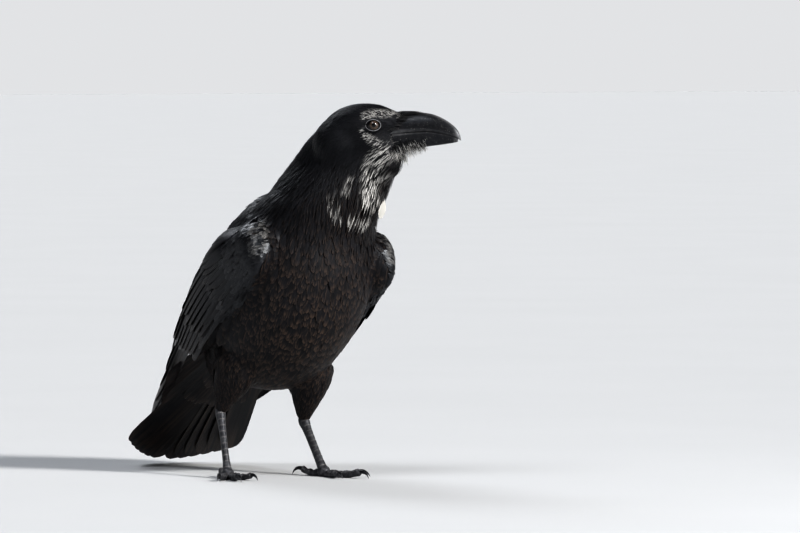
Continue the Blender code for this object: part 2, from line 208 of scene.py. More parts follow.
class Signal:
    """A shader socket that takes part in Python arithmetic."""

    def __init__(self, dye: "Dye", socket: bpy.types.NodeSocket) -> None:
        """Keeps the socket and the material that it belongs to."""
        self.dye = dye
        self.socket = socket

    def maths(self, operation: str, *operands: "Signal | float") -> "Signal":
        """A Math node's result from this and other values, in the order given."""
        return self.dye.node("Math", dict(enumerate(operands)), operation=operation)

    def __add__(self, other: "Signal | float") -> "Signal":
        """This plus a value."""
        return self.maths("ADD", self, other)

    __radd__ = __add__

    def __sub__(self, other: "Signal | float") -> "Signal":
        """This less a value."""
        return self.maths("SUBTRACT", self, other)

    def __rsub__(self, other: float) -> "Signal":
        """A number less this."""
        return self.maths("SUBTRACT", other, self)

    def __mul__(self, other: "Signal | float") -> "Signal":
        """This times a value."""
        return self.maths("MULTIPLY", self, other)

    __rmul__ = __mul__

    def __abs__(self) -> "Signal":
        """This without its sign."""
        return self.maths("ABSOLUTE", self)

    def sine(self) -> "Signal":
        """The sine of this."""
        return self.maths("SINE", self)

    def between(self, low: float, high: float) -> "Signal":
        """A smooth step from zero at low to one at high."""
        return self.dye.node("MapRange", {0: self, 1: low, 2: high}, interpolation_type="SMOOTHSTEP")

    def greater(self, other: "Signal | float") -> "Signal":
        """The greater of this and a value."""
        return self.maths("MAXIMUM", self, other)


Colour = Triple  # linear red, green and blue


class Dye:
    """A material or the surroundings in the making: one shader, and the nodes that vary it."""

    def __init__(self, name: str, constants: dict[str, object], world: bool = False) -> None:
        """Makes it and sets the sockets that are the same all over.

        Args:
            name: Its name.
            constants: Values by the shader's sockets.
            world: Whether it is for the surroundings.
        """
        self.owner = (bpy.data.worlds if world else bpy.data.materials).new(name)
        self.owner.use_nodes = True
        self.tree = self.owner.node_tree
        self.shader = self.tree.nodes["Background" if world else "Principled BSDF"]
        for socket, value in constants.items():
            self.feed(self.shader.inputs[socket], value)

    def feed(self, socket: bpy.types.NodeSocket, value: object) -> None:
        """Links a signal to a socket, or sets its value.

        Args:
            socket: The socket.
            value: A signal, colour or number.
        """
        if isinstance(value, Signal):
            self.tree.links.new(value.socket, socket)
        elif isinstance(value, tuple) and socket.type == "RGBA":
            socket.default_value = (*value, 1)
        else:
            socket.default_value = value

    def node(self, kind: str, inputs: dict[int | str, object], output: int | str = 0, **settings: str) -> Signal:
        """Adds a shader node.

        Args:
            kind: Its type.
            inputs: Signals or values by socket.
            output: The socket that is read.
            settings: Its properties.

        Returns:
            What that socket gives.
        """
        made = self.tree.nodes.new(f"ShaderNode{kind}")
        for key, value in settings.items():
            setattr(made, key, value)
        for key, value in inputs.items():
            self.feed(made.inputs[key], value)
        return Signal(self, made.outputs[output])

    def attribute(self, name: str) -> Signal:
        """A number that the mesh carries at its vertices."""
        return self.node("Attribute", {}, "Fac", attribute_name=name)

    def vane(self) -> tuple[Signal, Signal]:
        """The place on a feather: across from -1 to 1, and along from root to tip."""
        across = self.node("SeparateXYZ", {0: self.node("UVMap", {}, uv_map="Vane")})
        return across * 2 - 1, Signal(self, across.socket.node.outputs[1])

    def noise(self, scale: float, detail: float = 3, stretch: Colour = (1, 1, 1)) -> Signal:
        """Noise through the object, about 0.5, with a size of 1 / scale metres."""
        place = self.node("Mapping", {"Vector": self.node("TexCoord", {}, "Object"), "Scale": Vector(stretch)})
        return self.node("TexNoise", {"Vector": place, "Scale": scale, "Detail": detail})

    def streaks(self, across: Signal, along: Signal, seed: Signal) -> Signal:
        """Noise on a feather's own map, about 0.5, different on every feather."""
        place = self.node("CombineXYZ", {0: across, 1: along, 2: seed})
        return self.node("TexNoise", {"Vector": place, "Scale": 1, "Detail": 3})

    def blend(self, first: "Signal | Colour", second: "Signal | Colour", factor: Signal) -> Signal:
        """A colour between two."""
        return self.node("Mix", {0: factor, 6: first, 7: second}, 2, data_type="RGBA")

    def bump(self, height: Signal, distance: float) -> None:
        """Raises the surface by height times a distance in metres."""
        self.feed(self.shader.inputs["Normal"], self.node("Bump", {"Height": height, "Distance": distance}))

    def colour(self, value: "Signal | Colour") -> None:
        """Sets the base colour."""
        self.feed(self.shader.inputs["Base Color"], value)

    def roughness(self, value: "Signal | float") -> None:
        """Sets the roughness."""
        self.feed(self.shader.inputs["Roughness"], value)


@dataclass(frozen=True)
class Plumage:
    """Feathers: black vanes with a cold gloss, duller or browner at some edges, with painted highlights as silvery
    streaks towards some ends.
    """

    name: str
    barbs: float  # on one side of a vane, from root to tip
    gloss: float = 0.40  # roughness of a fresh vane
    relief: float = 0.10 * MM
    rim: Colour = (0.012, 0.012, 0.014)
    sheen: float = 0.25  # specular level
    black: Colour = (0.0040, 0.0041, 0.0050)
    brown: Colour = (0.100, 0.066, 0.046)
    # the colour of the highlights painted on feather ends
    painted_glint: Colour = (0.80, 0.785, 0.755)

    def material(self) -> Material:
        """The finish, which reads the feather's own map and the numbers that it carries.

        Returns:
            The material.
        """
        dye = Dye(self.name, {"IOR": 1.5, "Specular IOR Level": self.sheen, "Specular Tint": (0.90, 0.94, 1)})
        across, along = dye.vane()
        shade = dye.attribute("shade")
        streak = dye.streaks(across * 4.5, along * 1.6, shade * 60)
        lit = streak.between(0.36, 0.66)
        rim = abs(across).between(0.50, 1).greater(along.between(0.72, 1))
        barb = ((along * self.barbs - abs(across) * self.barbs * 0.2) * tau).sine()
        worn = dye.attribute("brown") * (rim * 0.85 + 0.10) * (lit * 0.9 + 0.1)
        # painted highlights: silvery streaks towards the ends of the feathers that carry them
        pale = dye.attribute("painted_glint") * along.between(0.25, 0.85) * (lit * 0.8 + 0.2) * shade.between(0.15, 0.6)
        vane = dye.blend(dye.blend(self.black, (0.0080, 0.0080, 0.0100), shade), self.rim, rim * lit)
        dye.colour(dye.blend(dye.blend(vane, self.brown, worn), self.painted_glint, pale))
        dye.roughness(dye.attribute("brown") * 0.16 + streak * 0.20 + shade * 0.08 + (self.gloss - 0.14))
        shaft = 1 - abs(across).between(0.02, 0.12)
        dye.bump(barb * 0.16 + shaft * 0.8 + streak * 1.5, self.relief)
        return dye.owner


class Coat(Enum):
    """The finishes of the kinds of feathers."""

    CONTOUR = Plumage("contour_plumage", 34, 0.42)
    FINE = Plumage("fine_plumage", 16, 0.40)
    COVERT = Plumage("covert_plumage", 34, 0.30, 0.06 * MM, (0.011, 0.011, 0.013), 0.28)
    FLIGHT = Plumage("flight_plumage", 130, 0.33, 0.05 * MM, (0.017, 0.016, 0.016), 0.24)
    WRIST = Plumage("wrist_plumage", 34, 0.34, 0.06 * MM, (0.012, 0.012, 0.014), 0.45)
    PALE = Plumage("pale_plumage", 20, 0.5, rim=(0.66, 0.65, 0.62), black=(0.50, 0.49, 0.46))


Dyed = dict[Coat, Material]


@dataclass(frozen=True)
class BareSkin:
    """The skin under the plumage, with the same dark colours and painted highlights as the feathers over it."""

    name: str = "under_plumage"

    def material(self) -> Material:
        """The finish.

        Returns:
            The material.
        """
        dye = Dye(self.name, {"Specular IOR Level": 0.25})
        down = dye.noise(900, 5, (1, 1, 0.25))
        ground = dye.blend((0.006, 0.006, 0.0075), (0.022, 0.016, 0.013), dye.attribute("brown") * down)
        # painted highlights where the feathers over the skin carry them
        dye.colour(dye.blend(ground, (0.20, 0.20, 0.21), dye.attribute("painted_glint") * down * 0.6))
        dye.roughness(down * 0.2 + 0.62)
        dye.bump(down, 0.6 * MM)
        return dye.owner


@dataclass(frozen=True)
class Horn:
    """Bill and claws: black horn with a satin gloss, fine lines of growth, worn edges and, on the bill, a painted
    highlight along the ridge.
    """

    name: str
    gloss: float
    # of worn edges, and of the highlight painted along the bill's ridge
    worn: Colour = (0.20, 0.20, 0.205)
    dust: float = 0  # how strongly pale specks show

    def material(self) -> Material:
        """The finish, which reads how near a place is to a worn edge or, on the bill, to its painted ridge
        highlight.

        Returns:
            The material.
        """
        dye = Dye(self.name, {"Specular IOR Level": 0.32, "Coat Roughness": 0.22, "Specular Tint": (0.86, 0.91, 1)})
        edge = dye.attribute("edge")
        grain = dye.noise(260, 6)
        scratches = dye.noise(1500, 2, (0.35, 0.35, 1.6))
        base = dye.blend((0.006, 0.006, 0.007), (0.015, 0.0145, 0.0155), grain.between(0.35, 0.75))
        speck = dye.noise(1100, 1).between(0.70, 0.76) * self.dust
        # pale where worn, and where a highlight is painted along the bill's ridge
        dye.colour(dye.blend(dye.blend(base, self.worn, edge * (grain * 0.8 + 0.3)), (0.30, 0.29, 0.26), speck))
        dye.roughness(grain * 0.18 + scratches * 0.14 + (self.gloss - 0.14) + edge * 0.12)
        dye.feed(dye.shader.inputs["Coat Weight"], 0.30 - grain * 0.3)
        dye.bump(scratches * 0.5 + grain * 1.2, 0.22 * MM)
        return dye.owner


@dataclass(frozen=True)
class ScaledSkin:
    """Legs, feet and eyelids: dark leathery scales with pale dust in their joints; on the eyelids the pale rim is a
    painted highlight.
    """

    name: str
    dark: Colour = (0.026, 0.026, 0.029)
    light: Colour = (0.13, 0.13, 0.138)
    # pale dust in the joints; on the eyelids, the colour of the rim's painted highlight
    dust_and_lid_glint: Colour = (0.22, 0.21, 0.20)
    grain: float = 900
    gloss: float = 0.36

    def material(self) -> Material:
        """The finish, which reads where one scale meets the next, or where the eyelids' rim highlight is painted.

        Returns:
            The material.
        """
        dye = Dye(self.name, {"Specular IOR Level": 0.35, "Specular Tint": (0.9, 0.94, 1)})
        joint = dye.attribute("edge")
        patch = dye.noise(self.grain * 0.25, 3)
        fine = dye.noise(self.grain, 4)
        face = dye.blend(self.dark, self.light, patch.between(0.35, 0.8) * 0.55)
        dye.colour(dye.blend(face, self.dust_and_lid_glint, joint * (fine.between(0.35, 0.7) * 0.7 + 0.3)))
        dye.roughness(fine * 0.22 + joint * 0.2 + (self.gloss - 0.1))
        dye.bump(fine * 0.6 + patch * 0.6, 0.22 * MM)
        return dye.owner


@dataclass(frozen=True)
class EyeGloss:
    """An eyeball: a black pupil in a dark brown iris, under a clear wet surface."""

    name: str = "eye_gloss"
    pupil: float = 2.35  # radius in millimetres
    iris: float = 4.9

    def material(self) -> Material:
        """The finish, which reads how far a place is from the eye's axis.

        Returns:
            The material.
        """
        dye = Dye(self.name, {"IOR": 1.36, "Coat Weight": 0.6, "Coat Roughness": 0.02, "Coat IOR": 1.4})
        reach = dye.attribute("reach")
        rays = dye.noise(1300, 3)
        brown = dye.blend((0.030, 0.020, 0.015), (0.095, 0.068, 0.052), rays.between(0.3, 0.75))
        inner = dye.blend((0.0015, 0.0012, 0.001), brown, reach.between(self.pupil - 0.25, self.pupil + 0.25))
        dye.colour(dye.blend(inner, (0.004, 0.0035, 0.0035), reach.between(self.iris - 0.7, self.iris)))
        dye.roughness(rays * 0.1 + 0.12)
        return dye.owner


@dataclass(frozen=True)
class FloorPaint:
    """The plain pale floor."""

    name: str = "floor_paint"

    def material(self) -> Material:
        """The finish.

        Returns:
            The material.
        """
        dye = Dye(self.name, {"Specular IOR Level": 0})
        dye.colour(dye.blend((0.555, 0.562, 0.570), (0.580, 0.586, 0.595), dye.noise(3)))
        dye.roughness(0.8)
        return dye.owner


# -------- meshes


def placed(name: str, data: bpy.types.ID) -> bpy.types.Object:
    """A new object in the scene, at the origin.

    Args:
        name: Its name.
        data: Its mesh, light or camera.

    Returns:
        The object.
    """
    made = bpy.data.objects.new(name, data)
    bpy.context.scene.collection.objects.link(made)
    return made


def piece_of(name: str, mesh: Mesh, finish: Material) -> bpy.types.Object:
    """Makes a mesh a piece of the bird, which rides on the one body.

    Args:
        name: The piece's name.
        mesh: Its mesh, in row-frame metres.
        finish: Its material.

    Returns:
        The object.
    """
    made = placed(name, mesh)
    mesh.name = name
    mesh.materials.clear()
    mesh.materials.append(finish)
    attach(made, "root")
    log.info("%s: %d triangles", name, sum(len(p.vertices) - 2 for p in mesh.polygons))
    return made


def mesh_of(bm: bmesh.types.BMesh, name: str) -> Mesh:
    """A smooth mesh from a bmesh, with its faces turned outwards.

    Args:
        bm: The bmesh, which is freed.
        name: The mesh's name.

    Returns:
        The mesh.
    """
    bmesh.ops.recalc_face_normals(bm, faces=bm.faces)
    mesh = bpy.data.meshes.new(name)
    bm.to_mesh(mesh)
    bm.free()
    mesh.shade_smooth()
    return mesh


def lofted(rings: Array) -> bmesh.types.BMesh:
    """A closed solid through rings of points.

    Args:
        rings: Points in metres, by ring and place on the ring.

    Returns:
        The solid.
    """
    bm = bmesh.new()
    corners = [bm.verts.new(p) for p in rings[0]]
    loop = [bm.edges.new((corners[k - 1], corners[k])) for k in range(len(corners))]
    bmesh.ops.edgeloop_fill(bm, edges=loop)
    for ring in rings[1:]:
        made = bmesh.ops.extrude_edge_only(bm, edges=loop)["geom"]
        fresh = {g for g in made if isinstance(g, bmesh.types.BMVert)}
        corners = [next(e.other_vert(v) for e in v.link_edges if e.other_vert(v) in fresh) for v in corners]
        loop = [g for g in made if isinstance(g, bmesh.types.BMEdge) and fresh.issuperset(g.verts)]
        for corner, point in zip(corners, ring, strict=True):
            corner.co = point
    bmesh.ops.edgeloop_fill(bm, edges=loop)
    return bm


def settled(obj: bpy.types.Object) -> None:
    """Replaces an object's mesh with its modified one.

    Args:
        obj: The object, whose modifiers are used up.
    """
    bpy.context.view_layer.update()
    made = bpy.data.meshes.new_from_object(obj.evaluated_get(bpy.context.evaluated_depsgraph_get()))
    obj.modifiers.clear()
    obj.data = made


def vectors_of(items: Sequence, key: str) -> Array:
    """Reads a vector off each item of a mesh.

    Args:
        items: The mesh's items.
        key: The vector's name.

    Returns:
        The vectors, in rows.
    """
    found = np.empty(3 * len(items), np.float32)
    items.foreach_get(key, found)
    return found.reshape(-1, 3).astype(float)


def places_of(mesh: Mesh) -> Array:
    """A mesh's vertices as an array."""
    return vectors_of(mesh.vertices, "co")


def carry(mesh: Mesh, name: str, values: Array) -> None:
    """Gives a mesh a number at each vertex."""
    layer = mesh.attributes.new(name, "FLOAT", "POINT")
    layer.data.foreach_set("value", np.ascontiguousarray(values, np.float32))


# -------- one feather


@dataclass(frozen=True)
class Vane:
    """The outline of one kind of feather, of unit length and unit half width."""

    rings: int
    outline: Keys  # share of the length, half width
    around: int = 4
    teeth: float = 0  # depth of the splits towards the tip
    ridge: float = 1  # height of the shaft against the vane's thickness
    shaft: float = 0  # how far the shaft lies off the middle

    def template(self) -> tuple[Array, Array, Array]:
        """Builds the feather once, from a prism cut into rings.

        Returns:
            Its vertices as across, along and up, its triangles, and which vertices are on its rim.
        """
        bm = bmesh.new()
        bmesh.ops.create_cone(bm, cap_ends=True, segments=self.around, radius1=1, radius2=1, depth=1)
        upright = [e for e in bm.edges if abs(e.verts[0].co.z - e.verts[1].co.z) > 0.5]
        bmesh.ops.subdivide_edges(bm, edges=upright, cuts=self.rings - 1)
        rim = []
        for v in bm.verts:
            ring = round((v.co.z + 0.5) * self.rings)
            angle = atan2(v.co.y, v.co.x)
            cross, lift = cos(angle), sin(angle)
            share = sin(0.5 * pi * (ring / self.rings) ** 0.95)
            half = float(keyed(self.outline, share)[0])
            on_rim = abs(lift) < 0.2
            rim.append(on_rim)
            if on_rim and ring % 2 and share > 0.35:
                half *= 1 - self.teeth
                share -= 0.35 * self.teeth / self.rings
            elif on_rim and share > 0.35:
                share = min(share + self.teeth / self.rings, 1)
            thin = 0.35 + 0.65 * (1 - share)
            height = lift * 0.5 * thin * (self.ridge if abs(cross) < 0.2 else 0.7)
            shift = self.shaft * (1 - abs(cross)) * half
            v.co = (cross * half + shift, share, 0 if on_rim else height)
        bmesh.ops.triangulate(bm, faces=bm.faces)
        bmesh.ops.recalc_face_normals(bm, faces=bm.faces)
        verts = np.array([v.co[:] for v in bm.verts])
        faces = np.array([[v.index for v in f.verts] for f in bm.faces])
        bm.free()
        return verts, faces, np.array(rim)


CONTOUR = Vane(
    11, ((0, 0.10), (0.15, 0.55), (0.4, 0.95), (0.62, 1), (0.82, 0.84), (0.94, 0.50), (1, 0.06)), teeth=0.09
)
HACKLE = Vane(7, ((0, 0.25), (0.2, 0.8), (0.45, 1), (0.7, 0.72), (0.88, 0.34), (1, 0.04)), teeth=0.12)
SHORT = Vane(5, ((0, 0.3), (0.3, 0.9), (0.6, 1), (0.85, 0.55), (1, 0.06)), teeth=0.10)
BRISTLE = Vane(5, ((0, 0.8), (0.25, 1), (0.7, 0.6), (1, 0.05)))
COVERT = Vane(
    12, ((0, 0.12), (0.12, 0.6), (0.35, 0.94), (0.65, 1), (0.85, 0.86), (0.95, 0.52), (1, 0.08)), 8, 0.015, 1.5
)
FLIGHT = Vane(
    24, ((0, 0.10), (0.08, 0.45), (0.25, 0.88), (0.55, 1), (0.8, 0.86), (0.92, 0.58), (0.98, 0.24), (1, 0.05)),
    8, 0.015, 2.2, 0.3,
)
BROAD = Vane(
    20, ((0, 0.12), (0.1, 0.5), (0.3, 0.9), (0.7, 1), (0.9, 0.93), (0.965, 0.68), (0.99, 0.38), (1, 0.08)),
    8, 0.01, 2, 0.1,
)


@dataclass
class Batch:
    """Feathers of one kind, to be joined in one mesh. Every array has a row for each feather."""

    vane: Vane
    place: Array  # lines of points in metres, by feather and place from root to tip
    across: Array  # unit directions to the feather's own side, as place
    outward: Array  # unit directions out of the plumage, as place
    half: Array  # half widths in metres
    thick: Array  # thicknesses in metres
    sag: Array  # how far the rims hang under the middle, in metres
    patch: Array  # places of the roots on the skin's own map
    numbers: dict[str, Array]  # carried by the mesh

    def solid(self, rng: Generator) -> tuple[Array, ...]:
        """Lays the feather's template along every line.

        Args:
            rng: The source of small differences between feathers.

        Returns:
            Vertices, triangles, rim flags, places on the vane and on the skin's map, by vertex.
        """
        verts, faces, rim = self.vane.template()
        count, steps = self.place.shape[:2]
        x = np.repeat(verts[None, :, 0], count, 0)
        y = np.repeat(verts[None, :, 1], count, 0)
        loose = rim & (verts[:, 1] > 0.3) & (verts[:, 1] < 0.99)
        x[:, loose] *= 1 + rng.normal(0, self.vane.teeth * 0.6, (count, int(loose.sum())))
        y[:, loose] += rng.normal(0, self.vane.teeth * 0.25, (count, int(loose.sum()))) / self.vane.rings
        y = np.clip(y, 0, 1)
        at = y * (steps - 1)
        low = np.minimum(at.astype(int), steps - 2)
        part = (at - low)[..., None]
        row = np.arange(count)[:, None]

        def along(line: Array) -> Array:
            """Reads a line at every vertex."""
            return line[row, low] * (1 - part) + line[row, low + 1] * part

        out = unit(along(self.outward))
        made = along(self.place) + unit(along(self.across)) * (x * self.half[:, None])[..., None]
        rise = verts[None, :, 2] * self.thick[:, None] - self.sag[:, None] * np.minimum(x * x, 1.5)
        made += out * rise[..., None]
        offsets = (np.arange(count) * len(verts))[:, None, None]
        on_vane = np.stack([0.5 + 0.5 * np.clip(x, -1, 1), y], -1)
        on_skin = self.patch[:, None, :] + 0.0015 * np.stack([x, 2 * y - 1], -1)
        return (
            made.reshape(-1, 3),
            (faces[None] + offsets).reshape(-1, 3),
            np.tile(rim, count),
            on_vane.reshape(-1, 2),
            on_skin.reshape(-1, 2),
        )


def crossed(line: Array, out: Array) -> tuple[Array, Array]:
    """Directions square to lines of points.

    Args:
        line: Points, by line and place on it.
        out: Directions that lead roughly outwards there.

    Returns:
        The sideways directions and the outward ones.
    """
    tangent = unit(np.gradient(line, axis=1))
    across = unit(np.cross(tangent, out))
    return across, unit(np.cross(across, tangent))


def numbers_for(count: int, rng: Generator, brown: float | Array,
                painted_glint: float | Array = 0) -> dict[str, Array]:
    """What feathers carry: how brown they are, how strong a highlight is painted on them, and a shade of each one's
    own.

    Args:
        count: How many.
        rng: The source of the shades.
        brown: How brown.
        painted_glint: How strong a highlight is painted on them.

    Returns:
        Numbers by name.
    """
    return {"brown": np.full(count, brown), "painted_glint": np.full(count, painted_glint), "shade": rng.random(count)}


def joined(name: str, batches: Sequence[Batch], rng: Generator) -> Mesh:
    """One mesh of many feathers, with its maps, the numbers that it carries and sharp rims.

    Args:
        name: The mesh's name.
        batches: The feathers, by kind.
        rng: The source of small differences between feathers.

    Returns:
        The mesh.
    """
    parts = [batch.solid(rng) for batch in batches]
    starts = np.cumsum([0, *[len(p[0]) for p in parts]])
    verts = np.concatenate([p[0] for p in parts])
    faces = np.concatenate([p[1] + start for p, start in zip(parts, starts, strict=False)])
    rim, on_vane, on_skin = (np.concatenate([p[k] for p in parts]) for k in (2, 3, 4))
    mesh = bpy.data.meshes.new(name)
    mesh.vertices.add(len(verts))
    mesh.vertices.foreach_set("co", verts.astype(np.float32).ravel())
    mesh.loops.add(faces.size)
    mesh.loops.foreach_set("vertex_index", faces.astype(np.int32).ravel())
    mesh.polygons.add(len(faces))
    mesh.polygons.foreach_set("loop_start", np.arange(0, faces.size, 3, dtype=np.int32))
    mesh.update(calc_edges=True)
    for label, where in (("Vane", on_vane), ("OFBake", on_skin)):
        layer = mesh.uv_layers.new(name=label)
        layer.uv.foreach_set("vector", where[faces.ravel()].astype(np.float32).ravel())
    mesh.uv_layers["Vane"].active = True
    mesh.uv_layers["Vane"].active_render = True
    for key in batches[0].numbers:
        sizes = [len(p[0]) // len(b.half) for p, b in zip(parts, batches, strict=True)]
        values = [np.repeat(b.numbers[key], size) for b, size in zip(batches, sizes, strict=True)]
        carry(mesh, key, np.concatenate(values))
    ends = np.empty(2 * len(mesh.edges), np.int32)
    mesh.edges.foreach_get("vertices", ends)
    sharp = rim[ends.reshape(-1, 2)].all(axis=1)
    layer = mesh.attributes.new("sharp_edge", "BOOLEAN", "EDGE")
    layer.data.foreach_set("value", sharp)
    return mesh


# -------- how the plumage lies


class Tract(Enum):
    """The parts of the small plumage, each a piece of its own."""

    FACE = "face_feathers"
    CROWN = "crown_feathers"
    NECK = "neck_feathers"
    THROAT = "throat_hackles"
    BREAST = "breast_feathers"
    BELLY = "belly_feathers"
    BACK = "back_feathers"
    VENT = "vent_feathers"
    TIBIA = "leg_feathers"
    WRIST = "small_wing_coverts"

    @property
    def number(self) -> int:
        """Its place among the tracts."""
        return list(Tract).index(self)


FINEST = (Tract.FACE, Tract.CROWN)
HACKLED = (Tract.NECK, Tract.THROAT, Tract.TIBIA)


@dataclass(frozen=True)
class Spot:
    """A place on the bird, and the feathers there. Lengths are in millimetres."""

    place: Triple
    lie: Triple
    length: float
    half: float
    spacing: float
    depth: float  # of the plumage over the skin
    brown: float = 0

    def sides(self, axes: Axes) -> list[tuple[Array, Array]]:
        """The spot's points and directions: one on the midline, or one on each side.

        Args:
            axes: The directions that it is given in.

        Returns:
            Pairs of a point and a direction.
        """
        found = []
        for side in (1, -1) if self.place[0] > 8 else (1,):
            flip = np.array((side, 1, 1))
            found.append((axes.points(flip * self.place), axes.ways(flip * self.lie)))
        return found


HEAD_SPOTS = {
    Tract.FACE: (
        Spot((0, 27, 14), (0, -1, 0.15), 5.5, 0.55, 0.95, 0.6),
        Spot((12, 24, 3), (0.1, -1, 0.1), 5, 0.5, 0.95, 0.5),
        Spot((18, 12, 12), (0.1, -1, 0.2), 4.6, 0.5, 0.88, 0.6),
        Spot((22, -2, 11), (0.1, -1, 0.1), 4.6, 0.5, 0.88, 0.6),
        Spot((23, -8, -8), (0.1, -1, -0.25), 4.8, 0.5, 0.9, 0.6),
        Spot((18, 6, -15), (0.1, -0.9, -0.45), 5, 0.5, 0.9, 0.6, 0.1),
        Spot((18, -6, -24), (0, -0.9, -0.45), 8, 0.7, 1.15, 0.9),
    ),
    Tract.CROWN: (
        Spot((0, 4, 23), (0, -1, -0.05), 7, 0.7, 1.2, 0.8),
        Spot((0, -16, 25), (0, -1, -0.2), 9, 0.95, 1.4, 1),
        Spot((24, -18, 6), (0, -1, -0.2), 8, 0.8, 1.3, 0.9),
        Spot((26, -26, -8), (0, -0.9, -0.45), 10, 0.95, 1.5, 1.1),
        Spot((0, -36, 18), (0, -0.9, -0.4), 12, 1.2, 1.7, 1.2),
        Spot((0, -58, -5), (0, -0.6, -0.8), 16, 1.7, 2.2, 1.6),
    ),
    Tract.THROAT: (
        Spot((0, 24, -31), (0, -0.75, -0.65), 10, 0.55, 1.2, 1.3, 0.3),
        Spot((13, 4, -32), (0, -0.75, -0.65), 13, 0.65, 1.35, 1.8),
        Spot((0, 6, -56), (0, -0.35, -0.95), 23, 1, 1.9, 3, 0.9),
        Spot((18, -4, -46), (0, -0.45, -0.9), 21, 1.05, 1.95, 2.6),
    ),
    Tract.NECK: (
        Spot((24, -24, -46), (0, -0.5, -0.85), 18, 1.4, 2.1, 1.8),
    ),
}
BIRD_SPOTS = {
    Tract.THROAT: (
        Spot((6, 122, 312), (-0.05, -0.15, -1), 30, 1.5, 2.6, 3, 0.9),
        Spot((44, 112, 318), (-0.05, -0.15, -1), 30, 1.5, 2.6, 3, 0.6),
        Spot((22, 112, 286), (0, -0.15, -1), 30, 1.9, 3.1, 3, 0.5),
    ),
    Tract.NECK: (
        Spot((30, 88, 322), (0, -0.35, -0.95), 20, 1.8, 2.7, 2),
        Spot((44, 60, 330), (0, -0.40, -0.9), 20, 1.9, 2.7, 2),
        Spot((0, 24, 332), (0, -0.55, -0.85), 21, 2.3, 3, 2.2),
        Spot((46, 74, 290), (0, -0.4, -0.9), 26, 2.6, 3.6, 3, 0.1),
    ),
    Tract.BREAST: (
        Spot((0, 100, 245), (0, -0.2, -1), 28, 4.9, 4.6, 2.4, 0.50),
        Spot((55, 80, 240), (0.05, -0.3, -1), 28, 4.9, 4.6, 2.4, 0.45),
        Spot((60, 66, 205), (0, -0.45, -0.9), 29, 5.1, 4.8, 2.4, 0.6),
    ),
    Tract.BELLY: (
        Spot((0, 82, 185), (0, -0.45, -0.9), 30, 5.4, 5, 2.6, 0.75),
        Spot((52, 48, 160), (0, -0.55, -0.85), 30, 5.4, 5, 2.6, 0.75),
        Spot((0, 24, 112), (0, -0.85, -0.5), 32, 5.4, 5.2, 2.6, 0.7),
        Spot((70, -5, 175), (0, -0.65, -0.75), 32, 5.6, 5.2, 2.4, 0.35),
    ),
    Tract.BACK: (
        Spot((0, -15, 298), (0, -0.7, -0.7), 26, 4.6, 4.6, 2.1, 0.08),
        Spot((50, 6, 284), (0.1, -0.75, -0.65), 26, 4.6, 4.6, 2.1, 0.08),
        Spot((0, -70, 240), (0, -0.8, -0.6), 32, 6.2, 5.8, 2.2, 0.08),
        Spot((0, -112, 172), (0, -0.82, -0.58), 36, 6.6, 6, 2.2, 0.08),
    ),
    Tract.VENT: (
        Spot((0, -50, 96), (0, -0.95, -0.3), 36, 5.6, 5.4, 2.6, 0.5),
        Spot((0, -112, 90), (0, -0.82, -0.57), 42, 6.4, 6, 2.4, 0.3),
    ),
    Tract.TIBIA: (
        Spot((44, -20, 104), (0, -0.15, -1), 20, 1.7, 2.3, 1.8, 0.75),
        Spot((47, -33, 78), (0, -0.1, -1), 14, 1.3, 1.9, 1.4, 0.75),
    ),
}
WIDE_REACH = 24  # how far a spot's feathers reach on their own, in millimetres
REACHES = {Tract.FACE: 6.5, Tract.CROWN: 12, Tract.THROAT: 15}


@dataclass(frozen=True)
class GlintBand:
    """A band where a highlight is painted on the feathers' ends as silvery streaks, on both sides of the bird."""

    path: Keys  # points on one side
    reach: float  # to where it has faded out, in millimetres
    strength: float
    axes: Axes = HEAD  # in which the path is given


# Bands of painted highlights: brow, cheek, throat, chin and neck on the head, and the bend of the wing.
GLINT_BANDS = (
    GlintBand(((21, -7, 8), (18, 0, 11.5), (14, 9, 11), (8, 18, 12.5), (4, 28, 13.5)), 7, 0.85),
    GlintBand(((22, -9, -6), (21, -6, -13), (19, 3, -19), (15, 11, -24)), 6, 0.82),
    GlintBand(((8, 24, -28), (14, 10, -31), (14, 3, -37), (12, -2, -48), (9, -5, -62), (6, -6, -80)), 13.5, 1),
    GlintBand(((3, 20, -32), (2, 15, -42), (3, 9, -54)), 10, 0.7),
    GlintBand(((18, -24, -60), (19, -28, -72)), 6, 0.55),
    GlintBand(((22, -43, -82), (16, -37, -96), (7, -28, -101), (6, -18, -104), (12, -8, -104)), 7, 1),
    # a painted highlight on the bend of each wing
    GlintBand(((74, 58, 261), (76, 70, 250), (78, 76, 238)), 14, 0.2, BIRD),
)


def painted_glint_at(points: Array) -> Array:
    """How strong a highlight is painted on the ends of feathers at each point, from 0 to 1.

    Args:
        points: Points in metres.

    Returns:
        A number for each.
    """
    found = np.zeros(len(points))
    for band in GLINT_BANDS:
        local = band.axes.lengths(points)
        local[:, 0] = np.abs(local[:, 0])
        for start, end in zip(np.array(band.path[:-1], float), np.array(band.path[1:], float), strict=True):
            run = end - start
            part = np.clip((local - start) @ run / (run @ run), 0, 1)
            gap = np.linalg.norm(local - start - part[:, None] * run, axis=1)
            found = np.maximum(found, band.strength * np.clip((band.reach - gap) / (0.55 * band.reach), 0, 1))
    return found


